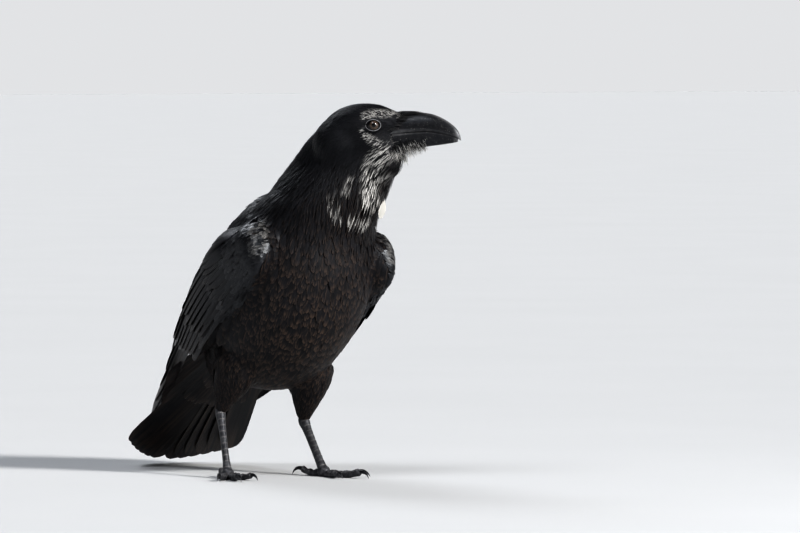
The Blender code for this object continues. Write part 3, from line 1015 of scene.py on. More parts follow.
class Lie:
    """How the small plumage lies everywhere, smoothed between its spots."""

    columns = ("length", "half", "spacing", "depth", "brown")

    def __init__(self) -> None:
        """Lists every spot's tract, sizes, point and direction."""
        rows = [(tract, spot, *pair) for table, axes in ((HEAD_SPOTS, HEAD), (BIRD_SPOTS, BIRD))
                for tract, spots in table.items() for spot in spots for pair in spot.sides(axes)]
        tracts, spots, points, ways = zip(*rows, strict=True)
        self.tracts = np.array([tract.number for tract in tracts])
        self.reach = np.array([REACHES.get(tract, WIDE_REACH) for tract in tracts])
        self.sizes = np.array([[getattr(spot, key) for key in self.columns] for spot in spots], float)
        self.points, self.ways = np.array(points), np.array(ways)

    def weights(self, points: Array) -> Array:
        """How much each spot counts at each point.

        Args:
            points: Points in metres.

        Returns:
            Shares, by point and spot.
        """
        apart = np.linalg.norm(points[:, None] - self.points[None], axis=2)
        over = (apart**2 - apart.min(axis=1, keepdims=True) ** 2) / MM**2
        wide = np.exp(-0.5 * over / WIDE_REACH**2)
        reach = (wide @ self.reach / wide.sum(axis=1))[:, None]
        found = np.exp(-0.5 * over / reach**2)
        return found / found.sum(axis=1, keepdims=True)

    def read(self, points: Array) -> dict[str, Array]:
        """Direction, sizes and tract at each point.

        Args:
            points: Points in metres.

        Returns:
            Arrays by name: the columns, "way" for directions, and "tract" for tract indices.
        """
        weights = self.weights(points)
        sizes = weights @ self.sizes
        found = {key: sizes[:, k] for k, key in enumerate(self.columns)}
        found["way"] = unit(weights @ self.ways)
        found["tract"] = self.tracts[weights.argmax(axis=1)]
        return found


# -------- wings' own surface


@dataclass(frozen=True)
class WingForm:
    """The outer face of a folded wing, by length along it and height on it."""

    side: float
    form: Keys = (  # along; out from the wrist; middle and half width; turn in above and below
        (-15, -16, -1, 7, 1, 1),
        (-9, -6, 0.5, 18, 5, 3),
        (0, 0, 1, 31, 16, 6),
        (25, 2, 8, 40, 36, 9),
        (62, 3, 20.5, 52.5, 56, 9),
        (110, 2, 20, 50, 70, 9),
        (155, -3, 15, 45, 74, 8),
        (195, -11, 12.5, 40.5, 66, 7),
        (228, -19, 10.5, 34.5, 56, 7),
        (268, -29, 12, 26, 42, 5),
        (305, -37, 14.5, 16.5, 28, 3),
        (345, -46, 14.5, 10.5, 14, 2),
        (385, -62, 11, 3, 1, 1),
    )

    def height(self, along: Array, share: Array) -> Array:
        """Heights in millimetres from shares of the half width, -1 below to 1 above."""
        _, middle, half, _, _ = np.moveaxis(keyed(self.form, along), -1, 0)
        return middle + share * half

    def points(self, along: Array, height: Array) -> Array:
        """Row-frame points on the outer face.

        Args:
            along: Lengths along the wing, in millimetres.
            height: Heights on it.

        Returns:
            The points.
        """
        out, middle, half, above, below = np.moveaxis(keyed(self.form, along), -1, 0)
        t = np.clip((height - middle) / half, -1.12, 1.12)
        turn = np.where(t > 0, above * np.abs(t) ** 2.6, below * t * t)
        place = WING_START + along[..., None] * WING_BACK + height[..., None] * WING_UP
        place[..., 0] = self.side * (STANCE.wrist[0] + out - turn)
        return BIRD.points(place)

    def frame(self, along: Array, height: Array) -> tuple[Array, Array]:
        """Points on the outer face, and the outward directions there.

        Args:
            along: Lengths along the wing, in millimetres.
            height: Heights on it.

        Returns:
            The points and directions.
        """
        ahead = self.points(along + 0.5, height) - self.points(along - 0.5, height)
        above = self.points(along, height + 0.5) - self.points(along, height - 0.5)
        return self.points(along, height), unit(np.cross(above, ahead)) * -self.side

    def lengths(self, points: Array) -> tuple[Array, Array]:
        """Lengths along the wing and heights on it, of row-frame points."""
        place = BIRD.lengths(points) - WING_START
        return place @ WING_BACK, place @ WING_UP


# -------- skin


class Skin:
    """The one skin under all the plumage, and what is read off it."""

    flesh = ("head", "neck", "trunk", "thigh_right", "thigh_left", "wing_right", "wing_left")
    voxel = 2.2 * MM
    swell = 0.5 * MM
    deepest = 4.5 * MM  # that it lies in the nodes
    eye_room = 10.5 * MM  # from an eye's centre to where the skin may come close to the surface
    under_coverts = 2.6 * MM  # how deep it lies at least under the large feathers
    wing_end = 165  # length of the wing that has flesh and dense coverts under its feathers

    def __init__(self, lie: Lie) -> None:
        """Builds the skin as an object.

        Args:
            lie: How the plumage lies.
        """
        self.lie = lie
        self.shape = placed("skin", self.gathered())
        self.fuse(6)
        self.sink()
        self.unwrap()
        mesh = self.shape.data
        mesh.calc_loop_triangles()
        self.verts = places_of(mesh)
        self.tris = np.array([t.vertices[:] for t in mesh.loop_triangles])
        loops = np.array([t.loops[:] for t in mesh.loop_triangles])
        uv = np.empty(2 * len(mesh.loops), np.float32)
        mesh.uv_layers["OFBake"].uv.foreach_get("vector", uv)
        self.maps = uv.reshape(-1, 2)[loops].mean(axis=1)
        self.tree = BVHTree.FromPolygons([Vector(v) for v in self.verts], self.tris.tolist())
        self.smooth = unit(vectors_of(mesh.vertex_normals, "vector")[self.tris].sum(axis=1))

    def gathered(self) -> Mesh:
        """The fleshy nodes and the eyes in one mesh, the wings without their ends.

        Each is merged and a little swollen, so that the thin cuts between them close.

        Returns:
            The mesh.
        """
        whole = bmesh.new()
        for name in (*self.flesh, "eye_right", "eye_left"):
            bm = bmesh.new()
            bm.from_mesh(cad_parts[name].data)
            bmesh.ops.remove_doubles(bm, verts=bm.verts, dist=1e-5)
            bm.normal_update()
            for v in bm.verts:
                v.co += v.normal * self.swell
            if name.startswith("wing"):
                point = BIRD.points(WING_START + self.wing_end * WING_BACK)
                geom = [*bm.verts, *bm.edges, *bm.faces]
                cut = bmesh.ops.bisect_plane(
                    bm, geom=geom, dist=1e-7, plane_co=point, plane_no=BIRD.ways(WING_BACK), clear_outer=True
                )["geom_cut"]
                rim = [g for g in cut if isinstance(g, bmesh.types.BMEdge)]
                bmesh.ops.triangle_fill(bm, edges=rim, use_beauty=True, use_dissolve=False)
                bmesh.ops.recalc_face_normals(bm, faces=bm.faces)
            part = bpy.data.meshes.new(name)
            bm.to_mesh(part)
            bm.free()
            whole.from_mesh(part)
            bpy.data.meshes.remove(part)
        mesh = bpy.data.meshes.new("skin")
        whole.to_mesh(mesh)
        whole.free()
        return mesh

    def fuse(self, rounds: int) -> None:
        """Makes the shape one closed form of even faces, and smooths it for some rounds.

        Args:
            rounds: How many.
        """
        remesh = self.shape.modifiers.new("fuse", "REMESH")
        remesh.mode = "VOXEL"
        remesh.voxel_size = self.voxel
        smooth = self.shape.modifiers.new("smooth", "SMOOTH")
        smooth.factor = 0.5
        smooth.iterations = rounds
        settled(self.shape)

    def sink(self) -> None:
        """Moves the skin in by the depth of the plumage, and keeps its largest closed part."""
        mesh = self.shape.data
        places = places_of(mesh)
        depth = np.minimum(self.lie.read(places)["depth"] * MM, self.deepest)
        eyes = HEAD.points([(side * STANCE.eye_side, 0, 0) for side in SIDES.values()])
        near_eye = np.min([np.linalg.norm(places - e, axis=1) for e in eyes], axis=0) < self.eye_room
        depth[near_eye] = np.maximum(depth[near_eye], MM)
        for side in SIDES.values():
            along, height = WingForm(side).lengths(places)
            outer = BIRD.lengths(places)[:, 0] * side > 50
            winged = outer & (along > -20) & (along < self.wing_end + 10)
            winged &= (height > -45) & (height < 85)
            depth[winged] = np.maximum(depth[winged], self.under_coverts)
        moved = places - vectors_of(mesh.vertex_normals, "vector") * depth[:, None]
        mesh.vertices.foreach_set("co", moved.astype(np.float32).ravel())
        self.fuse(3)
        self.keep_largest()

    def keep_largest(self) -> None:
        """Removes all but the largest connected part of the skin."""
        bm = bmesh.new()
        bm.from_mesh(self.shape.data)
        unseen = set(bm.verts)
        groups = []
        while unseen:
            group = [unseen.pop()]
            for v in group:
                for e in v.link_edges:
                    other = e.other_vert(v)
                    if other in unseen:
                        unseen.remove(other)
                        group.append(other)
            groups.append(group)
        groups.sort(key=len)
        for group in groups[:-1]:
            bmesh.ops.delete(bm, geom=group, context="VERTS")
        bm.to_mesh(self.shape.data)
        bm.free()

    def unwrap(self) -> None:
        """Gives the skin a map of its own shape."""
        mesh = self.shape.data
        mesh.uv_layers.new(name="OFBake")
        bpy.context.view_layer.objects.active = self.shape
        self.shape.select_set(True)
        bpy.ops.object.mode_set(mode="EDIT")
        bpy.ops.mesh.select_all(action="SELECT")
        bpy.ops.uv.smart_project(angle_limit=radians(66), island_margin=0.002)
        bpy.ops.object.mode_set(mode="OBJECT")
        self.shape.select_set(False)

    def settle(self, points: Array) -> tuple[Array, Array, Array]:
        """Nearest places on the skin.

        Args:
            points: Points in metres.

        Returns:
            The places, the smoothed outward directions there, and the triangles that they are on.
        """
        hits = [self.tree.find_nearest(Vector(p)) for p in points]
        index = np.array([h[2] for h in hits])
        return np.array([h[0][:] for h in hits]), self.smooth[index], index

    def map_at(self, points: Array) -> Array:
        """Places on the skin's own map, nearest to points."""
        return self.maps[self.settle(points)[2]]

    def scatter(self, count: int, rng: Generator) -> tuple[Array, Array]:
        """Points spread at random over the skin, with the triangles that they are on.

        Args:
            count: How many.
            rng: Where chance comes from.

        Returns:
            The points and the triangles' indices.
        """
        corners = self.verts[self.tris]
        area = np.linalg.norm(np.cross(corners[:, 1] - corners[:, 0], corners[:, 2] - corners[:, 0]), axis=1)
        index = rng.choice(len(area), count, p=area / area.sum())
        a, b = rng.random((2, count, 1))
        over = (a + b) > 1
        a, b = np.where(over, 1 - a, a), np.where(over, 1 - b, b)
        c = corners[index]
        return c[:, 0] + a * (c[:, 1] - c[:, 0]) + b * (c[:, 2] - c[:, 0]), index

    def finish(self) -> None:
        """Dresses the skin and lets it stand for the fleshy nodes."""
        mesh = self.shape.data
        carry(mesh, "brown", self.lie.read(places_of(mesh))["brown"])
        # the same painted highlights as the feathers over the skin
        carry(mesh, "painted_glint", painted_glint_at(places_of(mesh)))
        mesh.shade_smooth()
        bpy.data.objects.remove(self.shape)
        made = piece_of("skin", mesh, BareSkin().material())
        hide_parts(*self.flesh)


# -------- small plumage


def thinned(points: Array, spacing: Array) -> Array:
    """Picks points that keep their distance from each other.

    Args:
        points: Points in metres, in the order in which they are tried.
        spacing: The least distance of each from those picked before.

    Returns:
        The indices of those picked.
    """
    cell = float(spacing.max())
    keys = np.floor(points / cell).astype(int)
    grid: dict[tuple[int, int, int], list[int]] = {}
    steps = [(i, j, k) for i in (-1, 0, 1) for j in (-1, 0, 1) for k in (-1, 0, 1)]
    picked = []
    rows = points.tolist()
    for index, ((x, y, z), (i, j, k)) in enumerate(zip(rows, keys.tolist(), strict=True)):
        limit = float(spacing[index]) ** 2
        near = (rows[other] for di, dj, dk in steps for other in grid.get((i + di, j + dj, k + dk), ()))
        if all((x - ox) ** 2 + (y - oy) ** 2 + (z - oz) ** 2 >= limit for ox, oy, oz in near):
            grid.setdefault((i, j, k), []).append(index)
            picked.append(index)
    return np.array(picked)


class SmallPlumage:
    """All feathers that grow straight from the skin, in tracts."""

    candidates = 260000
    steps = 6  # points on each feather's line
    covert_end = 84  # length along the wing where its large feathers take over
    wing_gap = 7.5  # from a wing's face, in which none of these feathers grow behind that
    flank_gap = 26  # the same between the wing's end and the body
    fluff = 4.8 * MM  # how far the hackles stand out at the front of the throat

    def __init__(self, skin: Skin, lie: Lie) -> None:
        """Spreads the roots over the skin.

        Args:
            skin: The skin.
            lie: How the plumage lies.
        """
        self.skin = skin
        self.lie = lie
        self.rng = chance(0)
        points, index = skin.scatter(self.candidates, self.rng)
        keep = self.open_face(points)
        points, index = points[keep], index[keep]
        read = lie.read(points)
        keep = self.wing_lie(points, skin.smooth[index], read)
        chosen = []
        for number in range(len(Tract)):
            members = np.flatnonzero(keep & (read["tract"] == number))
            chosen.append(members[thinned(points[members], read["spacing"][members] * MM)])
        chosen = np.concatenate(chosen)
        self.roots = points[chosen]
        self.index = index[chosen]
        self.read = {key: value[chosen] for key, value in read.items()}

    def open_face(self, points: Array) -> Array:
        """Which points are clear of the eyes and of the bill's base."""
        side, ahead, up = (local := HEAD.lengths(points)).T
        return ~((ahead > 20) & (np.abs(side) < 11) & (up > -24) & (up < 8.5)) & ~self.over_eye(local, 8.3, 6.5)

    def over_eye(self, local: Array, long: float, high: float) -> Array:
        """Which points, in the head's lengths, lie within an almond round an eye.

        Args:
            local: The points.
            long: Half the almond's length.
            high: Half its height.

        Returns:
            A flag for each.
        """
        ahead = (local[..., 1] - STANCE.eye_ahead) / long
        above = (local[..., 2] + STANCE.eye_below) / high
        return (ahead**2 + above**2 < 1) & (np.abs(local[..., 0]) > 15)

    def off_eyes(self, place: Array) -> Array:
        """Which feathers don't lie over an eye."""
        return ~self.over_eye(HEAD.lengths(place), 7.8, 6).any(axis=1)

    def wing_lie(self, points: Array, out: Array, read: dict[str, Array]) -> Array:
        """Turns the lie along the wing over its foremost part, and sizes the coverts.

        Args:
            points: Points on the skin.
            out: The outward directions there.
            read: What was read at them, which is changed.

        Returns:
            Which points aren't covered by a wing's large feathers.
        """
        keep = np.ones(len(points), bool)
        for side in SIDES.values():
            surface = WingForm(side)
            along, share = np.meshgrid(np.arange(-15, 386, 4), np.linspace(-1, 1, 25), indexing="ij")
            face = surface.points(along, surface.height(along, share)).reshape(-1, 3)
            tree = KDTree(len(face))
            for k, place in enumerate(face):
                tree.insert(place, k)
            tree.balance()
            hits = [tree.find(p) for p in points]
            gap = np.array([h[2] for h in hits]) / MM
            reach = along.ravel()[[h[1] for h in hits]]
            keep &= ~((gap < self.wing_gap) & (reach > self.covert_end))
            keep &= ~((gap < self.flank_gap) & (reach > 120) & (np.abs(BIRD.lengths(points)[:, 0]) > 62))
            outer = out @ BIRD.ways((side, 0.25, 0)) > -0.1
            winged = (gap < 9) & (reach <= self.covert_end) & outer
            crease = (gap < 24) & (reach <= self.covert_end) & ~winged
            read["length"][crease] *= 0.65
            read["depth"][crease] *= 0.55
            part = np.clip(reach[winged] / 80, 0, 1)
            facing = np.clip(-out[winged] @ BIRD.ways(WING_BACK), 0, 1)[:, None]
            read["way"][winged] = unit(BIRD.ways(WING_BACK) + BIRD.ways((side, 0, 0)) * 1.6 * facing)
            sizes = {"length": 13 + 13 * part, "half": 3.1 + 2 * part, "spacing": 3 + 1.4 * part,
                     "depth": 1.7, "brown": 0.03, "tract": Tract.WRIST.number}
            for key, value in sizes.items():
                read[key][winged] = value
        return keep

    def lines(self, pick: Array) -> tuple[Array, ...]:
        """Follows the skin from each root along the lie.

        Args:
            pick: The indices of the roots.

        Returns:
            Places on the feathers' lines, sideways directions and outward directions.
        """
        count = len(pick)
        rng = chance(count)
        length = self.read["length"][pick] * MM * rng.uniform(0.88, 1.12, count)
        depth = self.read["depth"][pick] * MM * rng.uniform(0.8, 1.15, count)
        here = self.roots[pick]
        out = self.skin.smooth[self.index[pick]]
        winged = self.read["tract"][pick] == Tract.WRIST.number
        way = self.read["way"][pick].copy()
        stray = rng.normal(0, 0.09, (count, 1))
        places, outs = [here], [out]
        for _ in range(self.steps - 1):
            level = unit(way - out * np.sum(way * out, axis=1, keepdims=True))
            level = unit(level + np.cross(out, level) * stray)
            here, out, _ = self.skin.settle(here + level * (length / (self.steps - 1))[:, None])
            way = np.where(winged[:, None], way, self.lie.read(here)["way"])
            places.append(here)
            outs.append(out)
        place = np.stack(places, 1)
        outward = unit(np.stack(outs, 1))
        share = np.linspace(0, 1, self.steps)[None, :]
        low = (HEAD.lengths(here)[:, 2] + 70) / 34
        full = np.clip(out @ HEAD.ways((0, 1, 0)), 0, 1) * np.exp(-(low**2))
        rise = 0.15 * MM + (depth + self.fluff * full)[:, None] * (1.25 * share - 0.30 * share**3)
        place = place + outward * rise[..., None]
        across, outward = crossed(place, outward)
        roll = rng.normal(0, 1, (count, 1, 1)) * np.where(winged, 0.17, 0.07)[:, None, None]
        return place, unit(across + outward * roll), unit(outward - across * roll)

    def batch(self, tract: Tract) -> Batch:
        """The feathers of one tract.

        Args:
            tract: The tract.

        Returns:
            The feathers.
        """
        vane = SHORT if tract in FINEST else HACKLE if tract in HACKLED else CONTOUR
        pick = np.flatnonzero(self.read["tract"] == tract.number)
        place, across, outward = self.lines(pick)
        if tract in FINEST:
            clear = self.off_eyes(place)
            pick, place, across, outward = pick[clear], place[clear], across[clear], outward[clear]
        rng = chance(7)
        half = self.read["half"][pick] * MM * rng.uniform(0.88, 1.12, len(pick))
        curve = (22 if tract in FINEST else 42) * MM  # radius of the form under the feathers
        thick = np.full(len(pick), 0.34 * MM) * np.clip(half / (4 * MM), 0.45, 1)
        # highlights painted on the feathers' ends where a band of them lies
        numbers = numbers_for(len(pick), rng, self.read["brown"][pick], painted_glint_at(place[:, -2]))
        sag = half**2 / (2 * curve) + half * 0.05
        return Batch(vane, place, across, outward, half, thick, sag, self.skin.maps[self.index[pick]], numbers)

    def build(self, dyed: Dyed) -> None:
        """Makes each tract a piece.

        Args:
            dyed: The feathers' finishes.
        """
        fine = (*FINEST, Tract.NECK, Tract.THROAT)
        for tract in Tract:
            mesh = joined(tract.value, [self.batch(tract)], self.rng)
            coat = Coat.WRIST if tract is Tract.WRIST else Coat.FINE if tract in fine else Coat.CONTOUR
            piece_of(tract.value, mesh, dyed[coat])


# -------- large feathers of the wings


@dataclass(frozen=True)
class Row:
    """A row of like feathers on a wing. Each pair is for the row's first and last feather."""

    vane: Vane
    count: int
    root: tuple[float, float]  # lengths along the wing, in millimetres
    tip: tuple[float, float]
    root_share: tuple[float, float]  # heights as shares of the wing's half width
    tip_share: tuple[float, float]
    half: tuple[float, float]
    rise: tuple[float, float]  # of the tips out of the wing's face
    tips: Keys = ()  # share of the row, extra length: bends the line of the tips
    sunk: float = 2.6  # how deep the roots lie
    brown: float = 0.12
    roll_deg: float = 7  # how far the lower edge of each feather is turned out
    jitter: float = 1.2  # of the tips, in millimetres


WING_ROWS = (
    Row(FLIGHT, 10, (96, 92), (300, 262), (-0.72, -0.1), (-0.62, 0.66), (7, 9), (-2.6, 0.2),
        ((0, 0), (0.12, 48), (0.25, 78), (0.36, 90), (0.5, 78), (0.65, 50), (0.85, 16), (1, 0)),
        5.4, brown=0.25, roll_deg=5),
    Row(BROAD, 9, (84, 74), (180, 208), (-0.86, 0.28), (-0.85, 0.34), (6.4, 7.2), (-1.6, 1.2),
        ((0, 0), (0.5, 7), (1, 0)), 4.4, brown=0.15, roll_deg=10, jitter=2.5),
    Row(BROAD, 5, (66, 50), (214, 166), (0.34, 0.90), (0.44, 0.85), (8, 8.6), (1, 2.4), (), 3.6,
        roll_deg=10, jitter=3),
    Row(BROAD, 5, (92, 66), (158, 128), (-0.93, -0.66), (-0.91, -0.70), (4.4, 5.2), (-0.8, 0.2), (), 3.6),
    Row(BROAD, 12, (60, 50), (148, 172), (-0.94, 0.72), (-0.93, 0.80), (4.4, 5.4), (0, 1.7), (), 2.8,
        roll_deg=13, jitter=5),
    Row(COVERT, 18, (42, 40), (82, 96), (-0.95, 0.74), (-0.94, 0.80), (3.6, 4.6), (0.5, 1.9), (), 2.6,
        roll_deg=7, jitter=5),
    Row(COVERT, 11, (44, 12), (152, 92), (0.54, 1.05), (0.58, 1.03), (6.4, 6.2), (1.9, 2.8), (), 2.2,
        roll_deg=8, jitter=7),
    Row(COVERT, 11, (20, -2), (104, 58), (0.58, 1.06), (0.62, 1.05), (5.8, 5.4), (2.2, 3.2), (), 1.8,
        roll_deg=7, jitter=6),
)


@dataclass
class WingFeathers:
    """The large feathers of one wing, in rows over its outer face."""

    name: str
    skin: Skin
    steps: int = 14

    def batch(self, row: Row, number: int) -> Batch:
        """Lays one row.

        Args:
            row: The row.
            number: Its place among the wing's rows, which sets its small differences.

        Returns:
            The feathers.
        """
        side = SIDES[self.name]
        surface = WingForm(side)
        rng = chance(31 * number + (1 if side > 0 else 0))
        part = np.linspace(0, 1, row.count)[:, None]
        share = np.linspace(0, 1, self.steps)[None, :]

        def between(pair: tuple[float, float]) -> Array:
            """Values down the row, from its first feather's to its last one's."""
            return pair[0] + (pair[1] - pair[0]) * part

        extra = keyed(row.tips, part)[..., 0] if row.tips else 0
        tip = between(row.tip) + extra + rng.normal(0, row.jitter, part.shape)
        root = between(row.root)
        along = root + (tip - root) * share
        start = surface.height(root, between(row.root_share))
        end = surface.height(tip, between(row.tip_share))
        bow = (share + 0.35 * share * (1 - share)) if row.vane is FLIGHT else share
        height = start + (end - start) * bow + rng.normal(0, 0.6, part.shape) * share
        here, out = surface.frame(along, height)
        rise = -row.sunk + (between(row.rise) + row.sunk) * np.sqrt(share)
        here = here + out * (rise * MM)[..., None]
        across, outward = crossed(here, out)
        lower = -np.sign(across @ BIRD.ways(WING_UP))[..., None]
        roll = radians(row.roll_deg) * share[..., None] * rng.uniform(0.7, 1.3, (row.count, 1, 1))
        across, outward = unit(across + outward * roll * lower), unit(outward - across * roll * lower)
        half = between(row.half)[:, 0] * MM * rng.uniform(0.97, 1.03, row.count)
        vane = row.vane
        if vane.shaft:
            lower = side if row.tip_share[0] < row.tip_share[1] else -side
            vane = replace(vane, shaft=-lower * vane.shaft)
        curve = 18 * MM if row.rise[1] > 1.6 else 30 * MM
        stiff = row.vane is not COVERT
        thick = np.full(row.count, (0.62 if stiff else 0.5) * MM)
        sag = np.minimum(half**2 / (2 * curve) * 0.8, 2.2 * MM) * (0.5 if stiff else 0.8)
        numbers = numbers_for(row.count, rng, row.brown)
        return Batch(vane, here, across, outward, half, thick, sag, self.skin.map_at(here[:, 0]), numbers)

    def build(self, dyed: Dyed) -> None:
        """Makes the coverts one piece and the flight feathers another.

        Args:
            dyed: The feathers' finishes.
        """
        rng = chance(5)
        batches = [(row.vane is COVERT, self.batch(row, number)) for number, row in enumerate(WING_ROWS)]
        for label, coat, wanted in (("flight_feathers", Coat.FLIGHT, False), ("wing_coverts", Coat.COVERT, True)):
            name = f"{label}_{self.name}"
            group = [batch for covert, batch in batches if covert is wanted]
            piece_of(name, joined(name, group, rng), dyed[coat])


@dataclass
class TailFeathers:
    """The twelve tail feathers, fanned in a wedge, and the coverts over and under their roots."""

    skin: Skin
    pairs: int = 6
    steps: int = 14
    spread: float = 58  # from the middle to the outermost feather's line, at its tip
    half: float = 14.5
    drop: float = 9.5  # of the fan's edge under its middle
    edge: float = 64  # from the middle to that edge
    under: int = 13  # coverts in a row under it
    flank: int = 12  # coverts at each side of it

    def points(self, along: Array, side: Array, height: Array) -> Array:
        """Row-frame points by lengths along the tail, sideways, and over its upper face.

        Args:
            along: Lengths along it.
            side: Lengths sideways.
            height: Lengths over it.

        Returns:
            The points.
        """
        place = np.array(STANCE.tail_root) + along[..., None] * TAIL_BACK + height[..., None] * TAIL_UP
        place[..., 0] += side
        return BIRD.points(place)

    def batch(self, vane: Vane, start: Array, end: Array, over: Array, half: float) -> Batch:
        """Feathers on the tail's plane.

        Args:
            vane: Their outline.
            start: Where they are rooted, along the tail and sideways.
            end: Where their tips are.
            over: Heights of both over the tail's face.
            half: Their half width.

        Returns:
            The feathers.
        """
        count = len(start)
        share = np.linspace(0, 1, self.steps)[None, :, None]
        flat = start[:, None] + (end - start)[:, None] * share
        height = over[:, None, 0] + (over[:, None, 1] - over[:, None, 0]) * share[..., 0]
        sag = self.drop * (flat[..., 1] / self.edge) ** 2
        place = self.points(flat[..., 0], flat[..., 1], height - sag)
        across, outward = crossed(place, BIRD.ways(TAIL_UP))
        halves, thick = np.full(count, half) * MM, np.full(count, 0.6 * MM)
        numbers, patch = numbers_for(count, chance(count), 0.35), self.skin.map_at(place[:, 0])
        return Batch(vane, place, across, outward, halves, thick, halves * 0.06, patch, numbers)

    def rump_row(self, count: int, reach: float, span: float, over: float) -> Batch:
        """Coverts that run down the end of the rump on to the tail.

        Args:
            count: How many.
            reach: How far back the middle one's tip lies, in millimetres.
            span: How far to the side the outermost tips lie.
            over: How far the tips stand over the tail's face.

        Returns:
            The feathers.
        """
        rng = chance(60 + count)
        side = np.linspace(-1, 1, count)[:, None]
        share = np.linspace(0, 1, self.steps)[None, :]
        end = reach - 14 * side**2 + rng.normal(0, 2.5, side.shape)
        height = over + 34 * (1 - share) ** 1.4 - self.drop * (side * span / self.edge) ** 2 * share
        here = self.points(-14 + (end + 14) * share, side * span * (0.45 + 0.55 * share), height)
        near, out, index = self.skin.settle(here.reshape(-1, 3))
        near, out = near.reshape(here.shape), out.reshape(here.shape)
        depth = np.sum((here - near) * out, axis=2, keepdims=True)
        wanted = (1.4 - 4 * np.clip(1 - share / 0.3, 0, 1) + 0.5 * over * share)[..., None] * MM
        here = np.where((depth < wanted) & (share[..., None] < 0.75), near + out * wanted, here)
        here[:, 1:-1] = (here[:, :-2] + here[:, 1:-1] + here[:, 2:]) / 3
        up = unit(BIRD.ways(TAIL_UP) + BIRD.ways((1, 0, 0)) * 0.35 * side[..., None])
        patch = self.skin.maps[index.reshape(count, -1)[:, 0]]
        half, thick, sag = (np.full(count, size * MM) for size in (6.8, 0.45, 0.7))
        return Batch(COVERT, here, *crossed(here, up), half, thick, sag, patch, numbers_for(count, rng, 0.1))

    def under_row(self, reach: float, span: float, lift: float, rng: Generator) -> Batch:
        """Coverts under the tail.

        Args:
            reach: How far back the middle one's tip lies, in millimetres.
            span: How far to the side the outermost tips lie.
            lift: How high over the tail's upper face the middle tip lies.
            rng: The source of small differences.

        Returns:
            The feathers.
        """
        side = np.linspace(-1, 1, self.under)
        start = np.stack([np.full(self.under, reach - 66), side * span * 0.55], 1)
        end = np.stack([reach - 12 * side**2 + rng.normal(0, 2, self.under), side * span], 1)
        ends = lift + 0.8 * np.abs(side)
        return self.batch(COVERT, start, end, np.stack([ends * 0.4, ends], 1), 8.5)

    def flank_row(self, side: float, span: float, rng: Generator) -> Batch:
        """Coverts that close the gap between the tail and one wing.

        Args:
            side: -1 for the right side, 1 for the left.
            span: How far to the side the first one's tip lies, in millimetres.
            rng: The source of small differences.

        Returns:
            The feathers.
        """
        part = np.linspace(0, 1, self.flank)
        start = np.stack([18 * part - 26, side * (39 - 11 * part)], 1)
        end = np.stack([74 + 54 * part + rng.normal(0, 2, self.flank), side * (span - 16 * part)], 1)
        over = np.stack([-6 - 3 * part, 4.5 - 6 * part + rng.normal(0, 0.4, self.flank)], 1)
        return self.batch(CONTOUR, start, end, over, 9.4)

    def build(self, dyed: Dyed) -> None:
        """Makes the tail feathers one piece and their coverts another.

        Args:
            dyed: The feathers' finishes.
        """
        rng = chance(3)
        number = np.array([side * (k + 0.5) for k in range(self.pairs) for side in (-1, 1)])
        part = np.abs(number) / (self.pairs - 0.5)
        tip = STANCE.tail_length - 1 - 44 * part**1.6
        start = np.stack([np.full(len(number), 4), number * 2.2], 1)
        end = np.stack([tip, np.sign(number) * (5 + (self.spread - 5) * part)], 1)
        layer = -0.6 - 0.55 * np.abs(number) - 0.25 * (number > 0)
        tail = self.batch(BROAD, start, end, np.stack([layer - 1.5, layer], 1), self.half)
        made = piece_of("tail_feathers", joined("tail_feathers", [tail], rng), dyed[Coat.FLIGHT])
        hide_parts("tail")
        groups = [self.rump_row(*row) for row in ((11, 168, 30, 2), (10, 142, 27, 4), (9, 112, 24, 5.5))]
        groups += [self.under_row(*row, rng) for row in ((120, 34, -8), (86, 28, -10))]
        groups += [self.flank_row(side, 70 if side < 0 else 57, rng) for side in SIDES.values()]
        piece_of("tail_coverts", joined("tail_coverts", groups, rng), dyed[Coat.COVERT])


# -------- head


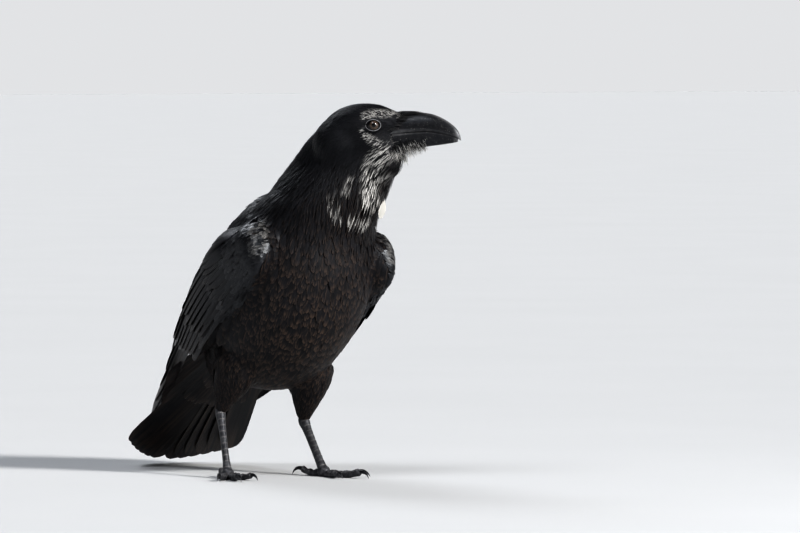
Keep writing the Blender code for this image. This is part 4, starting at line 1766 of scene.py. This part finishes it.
@dataclass
class Bill:
    """The shut bill: two halves of horn."""

    root: float = 8
    tip: float = 90
    profile: Keys = (  # along; top, line where the bill shuts and bottom; half width
        (8, 9, -10.5, -26, 13.2),
        (24, 12.5, -8.8, -27, 12),
        (40, 13.2, -7.4, -24.6, 10.4),
        (55, 12.2, -6.8, -22.4, 8.6),
        (66, 9.2, -7.9, -21, 7),
        (76, 4, -10.2, -19.6, 5.2),
        (84, -2.2, -12.6, -18.2, 3.4),
        (88, -7.6, -14.4, -17, 2),
        (90, -13.2, -16, -16.4, 0.8),
    )
    shorter: float = 3.4  # by which the lower half falls short of the upper
    rings: int = 46
    arc: int = 22  # points over the ridge or keel
    gap: float = 0.16  # from the line where it shuts to each half

    def ring(self, along: float, upper: bool) -> list[Triple]:
        """One section.

        Args:
            along: Its distance from the eyes.
            upper: Whether it is the upper half's.

        Returns:
            Its points in the head's lengths.
        """
        top, shut, bottom, half = keyed(self.profile, along)
        points = []
        for k in range(self.arc):
            angle = pi * k / (self.arc - 1)
            sine = max(sin(angle), 0)
            if upper:
                height = max(top - shut - self.gap, 0.6)
                ridge = 0.5 * exp(-(((angle - pi / 2) / 0.16) ** 2)) * min(half / 8, 1)
                side = half * cos(angle) * (1 - 0.05 * sin(2 * angle) ** 2)
                points.append((side, along, shut + self.gap + height * sine**0.82 + ridge - 0.35))
            else:
                height = max(shut - bottom - self.gap, 0.5)
                side = -max(0.9 * half, 0.4) * cos(angle)
                points.append((side, along, shut - self.gap - height * sine**0.88 + 0.15))
        sign = 1 if upper else -1
        for share in (-0.6, 0, 0.6):
            points.append((sign * share * half, along, shut + sign * (self.gap + 0.12)))
        return points

    def build(self, finish: Material) -> None:
        """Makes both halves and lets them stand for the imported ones.

        Args:
            finish: The horn's finish.
        """
        for name, upper in (("bill_upper_horn", True), ("bill_lower_horn", False)):
            end = self.tip if upper else self.tip - self.shorter
            steps = [self.root + (end - self.root) * (k / self.rings) ** 0.85 for k in range(self.rings + 1)]
            mesh = mesh_of(lofted(HEAD.points(np.array([self.ring(a, upper) for a in steps]))), name)
            carry(mesh, "edge", self.wear_and_ridge_highlight(HEAD.lengths(places_of(mesh))))
            made = piece_of(name, mesh, finish)
            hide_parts("bill_upper" if upper else "bill_lower")

    def wear_and_ridge_highlight(self, local: Array) -> Array:
        """How worn or pale the horn is: along its cutting edges, most towards the mouth's corner, and at its tip;
        the pale along its ridge is a painted highlight.

        Args:
            local: Points in the head's lengths.

        Returns:
            A number for each, from 0 to 1.
        """
        along = local[:, 1]
        top, shut, _, _ = np.moveaxis(keyed(self.profile, along), -1, 0)
        cut = np.exp(-np.abs(local[:, 2] - shut) / 0.9) * (0.3 + 0.7 * np.clip((44 - along) / 20, 0, 1))
        # a highlight painted along the ridge towards the tip
        ridge = np.exp(-(((top - local[:, 2]) / 1.6) ** 2)) * np.clip((along - 44) / 25, 0, 1)
        return np.maximum(np.maximum(cut, 0.9 * ridge), np.clip((along - 82) / 8, 0, 1))

    def surface(self, along: Array, angle: Array, upper: bool = True) -> Array:
        """Points on one half, in the head's lengths, by distance and angle over its ridge or keel.

        Args:
            along: Distances from the eyes.
            angle: Angles from the left side.
            upper: Whether it is the upper half.

        Returns:
            The points.
        """
        top, shut, bottom, half = np.moveaxis(keyed(self.profile, along), -1, 0)
        sine = np.maximum(np.sin(angle), 0)
        height = (top - shut) * sine**0.82 if upper else (bottom - shut) * sine**0.88
        return np.stack([half * (1 if upper else 0.9) * np.cos(angle), along, shut + height], -1)


@dataclass
class Bristles:
    """The stiff feathers of the bill's base and chin."""

    skin: Skin
    bill: Bill
    over_bill: int = 900
    under_bill: int = 420
    on_chin: int = 600
    steps: int = 7

    def batch(self, place: Array, out: Array, half: float, painted_glint: float | Array) -> Batch:
        """Bristles along lines of points, in metres.

        Args:
            place: The lines.
            out: Directions outwards.
            half: Their half width, in millimetres.
            painted_glint: How strong a highlight is painted on them.

        Returns:
            The bristles.
        """
        count = len(place)
        rng = chance(count)
        halves = half * MM * rng.uniform(0.7, 1.25, count)
        numbers = numbers_for(count, rng, 0.1, painted_glint)
        thick, patch = np.full(count, 0.32 * MM), self.skin.map_at(place[:, 0])
        return Batch(BRISTLE, place, *crossed(place, out), halves, thick, halves * 0.1, patch, numbers)

    def lying(self, upper: bool, start: Array, reach: Array, angle: Array,
              lift: Array, painted_glint: float | Array) -> Batch:
        """Bristles that lie forward over the base of one half of the bill.

        Args:
            upper: Whether it is the upper half.
            start: Where each is rooted along the bill, in millimetres.
            reach: The length of each, in millimetres.
            angle: The angle of each over the ridge or keel.
            lift: How far each stands off the horn, in millimetres.
            painted_glint: How strong a highlight is painted on them.

        Returns:
            The bristles.
        """
        rng = chance(len(angle))
        share = np.linspace(0, 1, self.steps)[None, :]
        sweep = (angle - pi / 2) * 0.10 + rng.normal(0, 0.05, angle.shape)
        along = start + reach * share
        turn = np.clip(angle + sweep * share, 0.10, pi - 0.10)
        here = self.bill.surface(along, turn, upper)
        middle = np.stack([np.zeros_like(along), along, np.full_like(along, -6 if upper else -12)], -1)
        out = unit(here - middle)
        rise = 0.2 + lift * np.sin(share * pi * 0.75)
        rise = rise * np.clip(1.25 - (along - 10) / 56, 0.35, 1)
        return self.batch(HEAD.points(here + out * rise[..., None]), HEAD.ways(out), 0.44, painted_glint)

    def nasal(self) -> Batch:
        """Bristles over the upper half's base, longest along its ridge.

        Returns:
            The bristles.
        """
        rng = chance(11)
        shape = (self.over_bill, 1)
        angle = rng.uniform(radians(2), radians(178), shape)
        high = np.sin(angle)
        start = rng.uniform(2, 14, shape) + rng.uniform(0, 18, shape) * high
        reach = rng.uniform(11, 23, shape) * (0.5 + 0.5 * high)
        # a highlight painted on the bristles high over the bill's base
        pale = np.where((start < 14) & (high > 0.6), 1.4, 0.08)[:, 0]
        return self.lying(True, start, reach, angle, rng.uniform(0.5, 1.7, shape), pale)

    def malar(self) -> Batch:
        """Bristles over the lower half's base, longest under the keel.

        Returns:
            The bristles.
        """
        rng = chance(13)
        shape = (self.under_bill, 1)
        angle = rng.uniform(radians(6), radians(174), shape)
        low = np.sin(angle)
        start = rng.uniform(2, 10, shape) + rng.uniform(0, 12, shape) * low
        reach = rng.uniform(7, 12, shape) * (0.7 + 0.5 * low)
        # a faint highlight painted on these bristles
        return self.lying(False, start, reach, angle, rng.uniform(0.4, 1.4, shape), 0.35)

    def chin(self) -> Batch:
        """Bristles that stand forward and down from the chin, shorter towards the bill's tip.

        Returns:
            The bristles.
        """
        rng = chance(12)
        count = self.on_chin
        share = np.linspace(0, 1, self.steps)[None, :, None]
        along = rng.uniform(9, 52, count)
        angle = (0.5 + rng.uniform(-1, 1, count) * np.interp(along, (8, 26), (0.16, 0.38))) * pi
        root = HEAD.points(self.bill.surface(along, angle, False) + np.array((0, 0, 0.4)))
        behind = along < 22
        root[behind], _, _ = self.skin.settle(root[behind])
        out = HEAD.ways(np.stack([np.cos(angle) * 0.5, np.full(count, 0.2), -np.ones(count)], -1))
        down = np.interp(along, (9, 26, 52), (0.9, 0.85, 0.5))
        way = (rng.normal(0, 0.16, count), rng.uniform(0.55, 1, count), -down * rng.uniform(0.7, 1.2, count))
        way = HEAD.ways(np.stack(way, -1))
        sag = HEAD.ways(np.array([(0, -0.6, -0.7)]))
        length = rng.uniform(0.6, 1.2, count) * np.interp(along, (9, 26, 40, 52), (11, 13, 8, 5.5))
        length = length[:, None, None] * MM
        place = root[:, None] + way[:, None] * share * length + sag[:, None] * share**2 * length * 0.3
        # a strong highlight painted on the chin's bristles
        return self.batch(place, np.broadcast_to(out[:, None], place.shape), 0.21, 2.4)

    def build(self, dyed: Dyed) -> None:
        """Makes the bristles over the bill one piece and those of the chin another."""
        for name, group in (("nasal_bristles", [self.nasal(), self.malar()]), ("chin_bristles", [self.chin()])):
            piece_of(name, joined(name, group, chance(4)), dyed[Coat.FINE])


@dataclass
class LooseFeather:
    """One pale rounded feather that has come loose on the front of the neck."""

    skin: Skin
    root: Triple = (45.2, 110.8, 298.5)
    end: Triple = (44.7, 106.4, 279)
    half: float = 4.1
    steps: int = 9

    def build(self, finish: Material) -> None:
        """Makes the feather.

        Args:
            finish: Its finish.
        """
        share = np.linspace(0, 1, self.steps)[:, None]
        out = np.array((0, 1, 0))
        line = np.array(self.root) + (np.array(self.end) - np.array(self.root)) * share
        place = BIRD.points(line + out * 1.4 * np.sin(pi * share))[None]
        sizes = (np.array([size * MM]) for size in (self.half, 0.35, 0.9))
        numbers = {key: np.zeros(1) for key in ("brown", "painted_glint", "shade")}
        batch = Batch(
            CONTOUR, place, *crossed(place, BIRD.ways(out)), *sizes, self.skin.map_at(place[:, 0]), numbers
        )
        mesh = joined("loose_neck_feather", [batch], chance(8))
        piece_of("loose_neck_feather", mesh, finish)


@dataclass
class Eye:
    """One eye: the ball with its clear bulge, and the ring of its lids."""

    name: str
    ball: float = 8.2
    bulge: float = 0.55  # of the clear front over the ball
    opening: tuple[float, float] = (7.1, 5.2)  # half width and half height between the lids
    gaze: float = 0.9  # how far forward of the lids' middle the iris sits
    hoop: float = 20  # radius at which the lids are spun before they are drawn in
    section: Keys = (  # of the lids: out from the opening, and over the ball there
        (-0.30, -0.40), (-0.05, 0.10), (0.20, 0.20), (0.42, 0.12), (0.60, 0.22), (0.80, 0.22),
        (1.00, 0.02), (1.30, -0.50), (1.80, -1.50), (2.30, -2.80), (2.70, -4.10), (1.40, -3.40),
    )

    def place(self) -> Matrix:
        """The eye's own frame: its axis is +Z and points out of the head.

        Returns:
            The frame.
        """
        side = SIDES[self.name]
        centre = HEAD.point(side * STANCE.eye_side, STANCE.eye_ahead, -STANCE.eye_below)
        axis = Vector(HEAD.ways([(side, 0.16, 0.04)])[0])
        up = Vector(HEAD.ways([(0, 0, 1)])[0])
        across = up.cross(axis).normalized()
        turn = Matrix((across, axis.cross(across).normalized(), axis)).transposed().to_4x4()
        return Matrix.Translation(centre) @ turn

    def eyeball(self, finish: Material) -> None:
        """Makes the ball, finest round its axis.

        Args:
            finish: Its finish.
        """
        bm = bmesh.new()
        bmesh.ops.create_uvsphere(bm, u_segments=48, v_segments=40, radius=self.ball * MM)
        for v in bm.verts:
            reach = hypot(v.co.x, v.co.y) / MM
            if v.co.z > 0:
                v.co.z += self.bulge * MM * exp(-((reach / 3.6) ** 2))
        ahead = self.place().to_3x3().inverted() @ Vector(HEAD.ways([(0, 1, 0)])[0])
        shift = copysign(self.gaze * MM, ahead.x)
        layer = [hypot(v.co.x - shift, v.co.y) / MM + (20 if v.co.z < 0 else 0) for v in bm.verts]
        bmesh.ops.transform(bm, matrix=self.place(), verts=bm.verts)
        mesh = mesh_of(bm, f"eyeball_{self.name}")
        carry(mesh, "reach", np.array(layer))
        made = piece_of(f"eyeball_{self.name}", mesh, finish)
        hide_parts(f"eye_{self.name}")

    def lids(self, finish: Material) -> None:
        """Spins the section of the lids round the eye, and draws the ring out into an almond.

        Args:
            finish: Their finish.
        """
        bm = bmesh.new()
        ring = [bm.verts.new(((self.hoop + out) * MM, 0, over * MM)) for out, over in self.section]
        loop = [bm.edges.new((ring[k - 1], ring[k])) for k in range(len(ring))]
        bmesh.ops.spin(
            bm, geom=[*ring, *loop], cent=(0, 0, 0), axis=(0, 0, 1), dvec=(0, 0, 0), angle=tau,
            steps=72, use_merge=True, use_duplicate=False,
        )
        edge = []
        for v in bm.verts:
            out = hypot(v.co.x, v.co.y) / MM - self.hoop
            turn = atan2(v.co.y, v.co.x)
            reach = 1 / hypot(cos(turn) / self.opening[0], sin(turn) / self.opening[1])
            fold = 0.07 * sin(turn * 34) * exp(-(((out - 0.7) / 0.3) ** 2))
            height = sqrt(self.ball**2 - reach**2) + v.co.z / MM + fold
            v.co = Vector(((reach + out) * cos(turn), (reach + out) * sin(turn), height)) * MM
            # where the highlight on the lids' rim is painted
            edge.append(exp(-(((out - 0.70) / 0.24) ** 2)))
        bmesh.ops.transform(bm, matrix=self.place(), verts=bm.verts)
        mesh = mesh_of(bm, f"eyelids_{self.name}")
        carry(mesh, "edge", np.array(edge))
        piece_of(f"eyelids_{self.name}", mesh, finish)


# -------- legs


@dataclass(frozen=True)
class Toe:
    """A toe. Lengths are in millimetres."""

    name: str
    yaw_deg: float  # outwards from the foot's own line
    length: float
    thick: float
    claw: float  # length of its claw
    rear: float = radians(25)  # how steeply the claw rises at its root
    dip: float = radians(68)  # how steeply it falls at its point

    @property
    def bend(self) -> float:
        """The radius of the claw's curve."""
        return self.claw / (self.rear + self.dip)

    @property
    def claw_height(self) -> float:
        """How high the claw starts over the floor."""
        return max(0.6 + self.bend * (cos(self.rear) - cos(self.dip)), self.thick * 0.86)


TOES = (
    Toe("inner", -25, 37, 4.3, 15.5),
    Toe("middle", 0, 49, 4.4, 16.5),
    Toe("outer", 25, 38, 4.1, 14.5),
    Toe("hind", 180, 29, 4.6, 18),
)
Rings = tuple[Array, Array]  # points in metres and nearness to a scale's joint, by ring and place


@dataclass
class Leg:
    """One leg from the ankle down: the shank, four toes and their claws."""

    name: str
    ankle: Triple
    foot: Triple
    yaw_deg: float
    shank_form: Keys = (  # share of the way from ankle to foot, half width, half depth
        (0, 4.6, 5.2),
        (0.07, 5.4, 6.3),
        (0.22, 4.1, 5.2),
        (0.5, 3.6, 4.7),
        (0.8, 3.8, 4.8),
        (0.94, 4.9, 5.3),
        (1, 4.6, 4.6),
    )
    around: int = 28  # points on a ring
    claw_around: int = 14
    plates: int = 11  # down the shank
    plate: float = 3.1  # length of a toe's plate
    sole: float = 0.035  # between the undersides of the foot's parts, so that none lie in one plane

    def scale_edge(self, phase: float) -> tuple[float, float]:
        """The step of overlapping plates: their relief, and how near the joint is."""
        part = phase % 1
        return 0.5 - part if part > 0.12 else -0.5 + part / 0.12, exp(-((min(part, 1 - part) / 0.09) ** 2))

    def shank(self) -> Rings:
        """The shank's rings: broad plates in front, a smooth keel behind.

        Returns:
            The rings.
        """
        start, end = np.array(self.ankle), np.array(self.foot)
        start = start - (end - start) * 0.05
        axis = unit(end - start)
        yaw = radians(self.yaw_deg)
        forward = np.array((sin(yaw), cos(yaw), 0))
        forward = unit(forward - axis * forward.dot(axis))
        across = np.cross(forward, axis)
        rings, edges = [], []
        for share in np.linspace(0, 1, 90):
            half, deep = keyed(self.shank_form, float(share))
            ring, edge = [], []
            for j in range(self.around):
                angle = tau * j / self.around
                front = max(sin(angle), 0) ** 0.5
                step, joint = self.scale_edge(share * self.plates)
                side_step, side_joint = self.scale_edge(share * 26 + 0.5 * j)
                keel = 0.35 * exp(-(((angle - 1.5 * pi) / 0.35) ** 2))
                relief = 0.26 * step * front + 0.06 * side_step * (1 - front) + keel
                offset = across * (half + relief) * cos(angle) + forward * (deep + relief) * sin(angle)
                ring.append(start + (end - start) * share + offset)
                edge.append(joint * front * 0.9 + side_joint * (1 - front) * 0.25)
            rings.append(ring)
            edges.append(edge)
        return GROUND.points(np.array(rings)), np.array(edges)

    def axes(self, toe: Toe | None = None) -> Axes:
        """The floor point under the foot, with the way that the foot or one of its toes points.

        Args:
            toe: The toe, or none for the foot.

        Returns:
            The place and directions.
        """
        side, forward, _ = self.foot
        yaw = self.yaw_deg - SIDES[self.name] * toe.yaw_deg if toe else self.yaw_deg
        return Axes(Matrix.Translation(GROUND.point(side, forward, 0)) @ turned(yaw))

    def toe(self, toe: Toe) -> Rings:
        """A toe's rings: plates above, and pads below that rest on the floor.

        Args:
            toe: The toe.

        Returns:
            The rings.
        """
        joints = 4 if toe.length > 40 else 3
        rings, edges = [], []
        for share in np.linspace(-0.08, 1.08, 62):
            inner = min(max(float(share), 0), 1)
            swell = 0.93 + 0.09 * cos(tau * joints * inner)
            radius = toe.thick * swell * (1 - 0.22 * inner)
            if share > 1:
                radius *= sqrt(max(1 - ((share - 1) / 0.085) ** 2, 0.05))
            if share < 0:
                radius *= sqrt(max(1 - (share / 0.09) ** 2, 0.05))
            rise = toe.thick * swell * (1 - 0.22 * inner) * 0.86
            rise += max(toe.claw_height - rise, 0) * min(max((share - 0.55) / 0.45, 0), 1) ** 1.6
            step, joint = self.scale_edge(float(share) * toe.length / self.plate)
            ring, edge = [], []
            for j in range(self.around):
                angle = tau * j / self.around
                above = max(sin(angle), 0) ** 0.5
                relief = 0.24 * step * above
                pad = 0.10 * sin(float(share) * toe.length * 3.4 + 2 * j) * (1 - above)
                up = max(rise + (radius + relief + pad) * sin(angle), self.sole * TOES.index(toe))
                ring.append(((radius + relief + pad) * cos(angle), toe.length * float(share), up))
                edge.append(joint * above * 0.9)
            rings.append(ring)
            edges.append(edge)
        return self.axes(toe).points(np.array(rings)), np.array(edges)

    def claw(self, toe: Toe) -> Array:
        """A curved claw's rings, with its point just off the floor.

        Args:
            toe: Its toe.

        Returns:
            The rings' points in metres.
        """
        rings = []
        for share in np.linspace(0, 1, 18):
            angle = toe.rear - (toe.rear + toe.dip) * share
            along = toe.length + 0.3 * toe.thick + toe.bend * (sin(toe.rear) - sin(angle))
            up = toe.claw_height + toe.bend * (cos(angle) - cos(toe.rear))
            half = max(0.46 * toe.thick * (1 - share) ** 0.8, 0.16)
            deep = max(0.60 * toe.thick * (1 - share) ** 0.75, 0.18)
            ring = []
            for j in range(self.claw_around):
                turn = tau * j / self.claw_around
                lift = deep * sin(turn) * (0.82 if sin(turn) < 0 else 1)
                height = max(up + lift * cos(angle), 0.15)
                ring.append((half * cos(turn), along - lift * sin(angle), height))
            rings.append(ring)
        return self.axes(toe).points(np.array(rings))

    def pad(self) -> Rings:
        """The ball of the foot, where the toes meet.

        Returns:
            The rings.
        """
        rings = []
        for share in np.linspace(-0.98, 0.98, 18):
            size = sqrt(1 - share * share)
            ring = []
            for j in range(self.around):
                angle = tau * j / self.around
                up = max(5.6 + 6.2 * size * sin(angle), self.sole * len(TOES))
                ring.append((6.6 * size * cos(angle), 7.2 * share, up))
            rings.append(ring)
        return self.axes().points(np.array(rings)), np.zeros((18, self.around))

    def build(self, scales: Material, horn: Material) -> None:
        """Makes the leg one piece and each claw another.

        Args:
            scales: The skin's finish.
            horn: The claws' finish.
        """
        parts = [self.shank(), self.pad(), *[self.toe(toe) for toe in TOES]]
        whole, *others = (placed("leg_part", mesh_of(lofted(rings), "leg_part")) for rings, _ in parts)
        for part in others:
            union = whole.modifiers.new("union", "BOOLEAN")
            union.operation = "UNION"
            union.solver = "EXACT"
            union.object = part
            settled(whole)
            bpy.data.objects.remove(part)
        mesh = whole.data
        bpy.data.objects.remove(whole)
        points = np.concatenate([rings.reshape(-1, 3) for rings, _ in parts])
        values = np.concatenate([edges.ravel() for _, edges in parts])
        nearest = [np.argmin(np.sum((points - place) ** 2, axis=1)) for place in places_of(mesh)]
        mesh.shade_smooth()
        carry(mesh, "edge", values[nearest])
        made = piece_of(f"leg_{self.name}", mesh, scales)
        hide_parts(f"tarsus_{self.name}", f"foot_{self.name}")
        for toe in TOES:
            rings = self.claw(toe)
            name = f"claw_horn_{toe.name}_{self.name}"
            mesh = mesh_of(lofted(rings), name)
            tips = np.linalg.norm(places_of(mesh) - rings[-1].mean(axis=0), axis=1)
            carry(mesh, "edge", np.clip(1 - tips / (7 * MM), 0, 1) * 0.5)
            made = piece_of(name, mesh, horn)
            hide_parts(f"claw_{toe.name}_{self.name}")


LEGS = (
    Leg("right", (-46, -37, 69), (-52, -7, 5), -14),
    Leg("left", (49, -30, 58), (54, 7, 5), 20),
)


# -------- studio


@dataclass(frozen=True)
class Lamp:
    """A light that is aimed at the bird: a soft sun, or a square panel close to it."""

    name: str
    way: Triple  # along the view's right, towards the camera, and up
    width: float  # in degrees for a sun, in metres for a panel
    strength: float
    colour: Colour
    panel: bool = False

    def light(self) -> bpy.types.Light:
        """The light itself.

        Returns:
            The light, without a place.
        """
        data = bpy.data.lights.new(self.name, "AREA" if self.panel else "SUN")
        if self.panel:
            data.size = self.width
        else:
            data.angle = radians(self.width)
        data.energy = self.strength
        data.color = self.colour
        return data


LAMPS = (
    Lamp("key", (0.66, 0.60, 0.52), 8, 3.2, (1, 0.98, 0.95)),
    Lamp("back", (-0.35, -0.75, 0.7), 25, 0.9, (0.93, 0.96, 1)),
    Lamp("top", (-0.27, 0.50, 0.80), 24, 0.85, (0.95, 0.97, 1)),
    Lamp("catch", (0.9, 0.62, 0.30), 0.36, 5, (1, 1, 1), panel=True),
)


@dataclass
class Studio:
    """Floor, lights and camera."""

    azimuth_deg: float = -28
    elevation_deg: float = 2
    scale: float = 1.05 * MM  # of the bird, for each of the view's 800 columns
    feet_at: tuple[float, float] = (275, 478)
    size: tuple[float, float] = (800, 533)
    lens: float = 300
    sensor: float = 36
    middle: Triple = (0, 0, 0.22)  # of the bird, in metres, where the lights are aimed
    far: float = 3
    near: float = 1.8
    horizon: Colour = (0.555, 0.560, 0.570)
    overhead: Colour = (0.07, 0.075, 0.085)

    def directions(self) -> tuple[Vector, Vector]:
        """The view's right, and the way from the bird to the camera.

        Returns:
            Both, as unit vectors.
        """
        a, e = radians(self.azimuth_deg), radians(self.elevation_deg)
        right = Vector((cos(a), sin(a), 0))
        towards = Vector((sin(a) * cos(e), -cos(a) * cos(e), sin(e)))
        return right, towards

    def camera(self) -> None:
        """Frames the bird."""
        right, towards = self.directions()
        across = self.size[0] / 2 - self.feet_at[0]
        above = self.feet_at[1] - self.size[1] / 2
        lift = above * self.scale / cos(radians(self.elevation_deg))
        target = Vector(GROUND.origin) + right * across * self.scale + Vector((0, 0, lift))
        data = bpy.data.cameras.new("camera")
        data.lens = self.lens
        data.sensor_width = self.sensor
        data.clip_end = 100
        distance = self.size[0] * self.scale * self.lens / self.sensor
        bpy.context.scene.camera = self.aimed(data, target, towards, distance)

    def aimed(self, data: bpy.types.ID, target: Vector, out: Vector, distance: float) -> bpy.types.Object:
        """Places a light or camera at a distance from a target, and aims it there.

        Args:
            data: The light or camera.
            target: The target.
            out: The way from it.
            distance: The distance.

        Returns:
            The object.
        """
        made = placed(data.name, data)
        made.location = target + out * distance
        made.rotation_euler = (-out).to_track_quat("-Z", "Y").to_euler()
        return made

    def way(self, across: float, towards: float, up: float) -> Vector:
        """A direction out of the bird: along the view's right, towards the camera, and up."""
        right, out = self.directions()
        return (right * across + out.to_2d().normalized().to_3d() * towards + Vector((0, 0, up))).normalized()

    def backdrop(self) -> None:
        """Surrounds the studio with pale grey that darkens upwards."""
        dye = Dye("studio", {}, world=True)
        up = dye.node("SeparateXYZ", {0: dye.node("TexCoord", {}, "Generated")}, "Z")
        dye.feed(dye.shader.inputs["Color"], dye.blend(self.horizon, self.overhead, up.between(0.02, 0.32)))
        bpy.context.scene.world = dye.owner

    def build(self) -> None:
        """Sets the studio up."""
        bm = bmesh.new()
        bmesh.ops.create_grid(bm, x_segments=8, y_segments=8, size=40)
        floor = placed("floor", mesh_of(bm, "floor"))
        floor.data.materials.append(FloorPaint().material())
        for lamp in LAMPS:
            distance = self.near if lamp.panel else self.far
            self.aimed(lamp.light(), Vector(self.middle), self.way(*lamp.way), distance)
        self.backdrop()
        bpy.context.scene.view_settings.view_transform = "Standard"
        bpy.context.scene.view_settings.look = "High Contrast"
        self.camera()


# -------- assembly


def main() -> None:
    """Builds the bird and its studio."""
    logging.basicConfig(level=logging.INFO, format="%(message)s")
    dyed = {coat: coat.value.material() for coat in Coat}
    lie = Lie()
    skin = Skin(lie)
    SmallPlumage(skin, lie).build(dyed)
    for name in SIDES:
        WingFeathers(name, skin).build(dyed)
    TailFeathers(skin).build(dyed)
    bill = Bill()
    bill.build(Horn("bill_horn", 0.34, dust=0.8).material())
    Bristles(skin, bill).build(dyed)
    LooseFeather(skin).build(dyed[Coat.PALE])
    ball = EyeGloss().material()
    # the lids' pale rim colour is a painted highlight
    lid = ScaledSkin("lid_skin", (0.006, 0.006, 0.007), (0.014, 0.014, 0.015), (0.50, 0.50, 0.51), 2600, 0.55)
    lid = lid.material()
    scales = ScaledSkin("leg_scales", gloss=0.44).material()
    horn = Horn("claw_horn", 0.28).material()
    for eye, leg in zip(map(Eye, SIDES), LEGS, strict=True):
        eye.eyeball(ball)
        eye.lids(lid)
        leg.build(scales, horn)
    skin.finish()
    Studio().build()


if __name__ == "__main__":
    main()
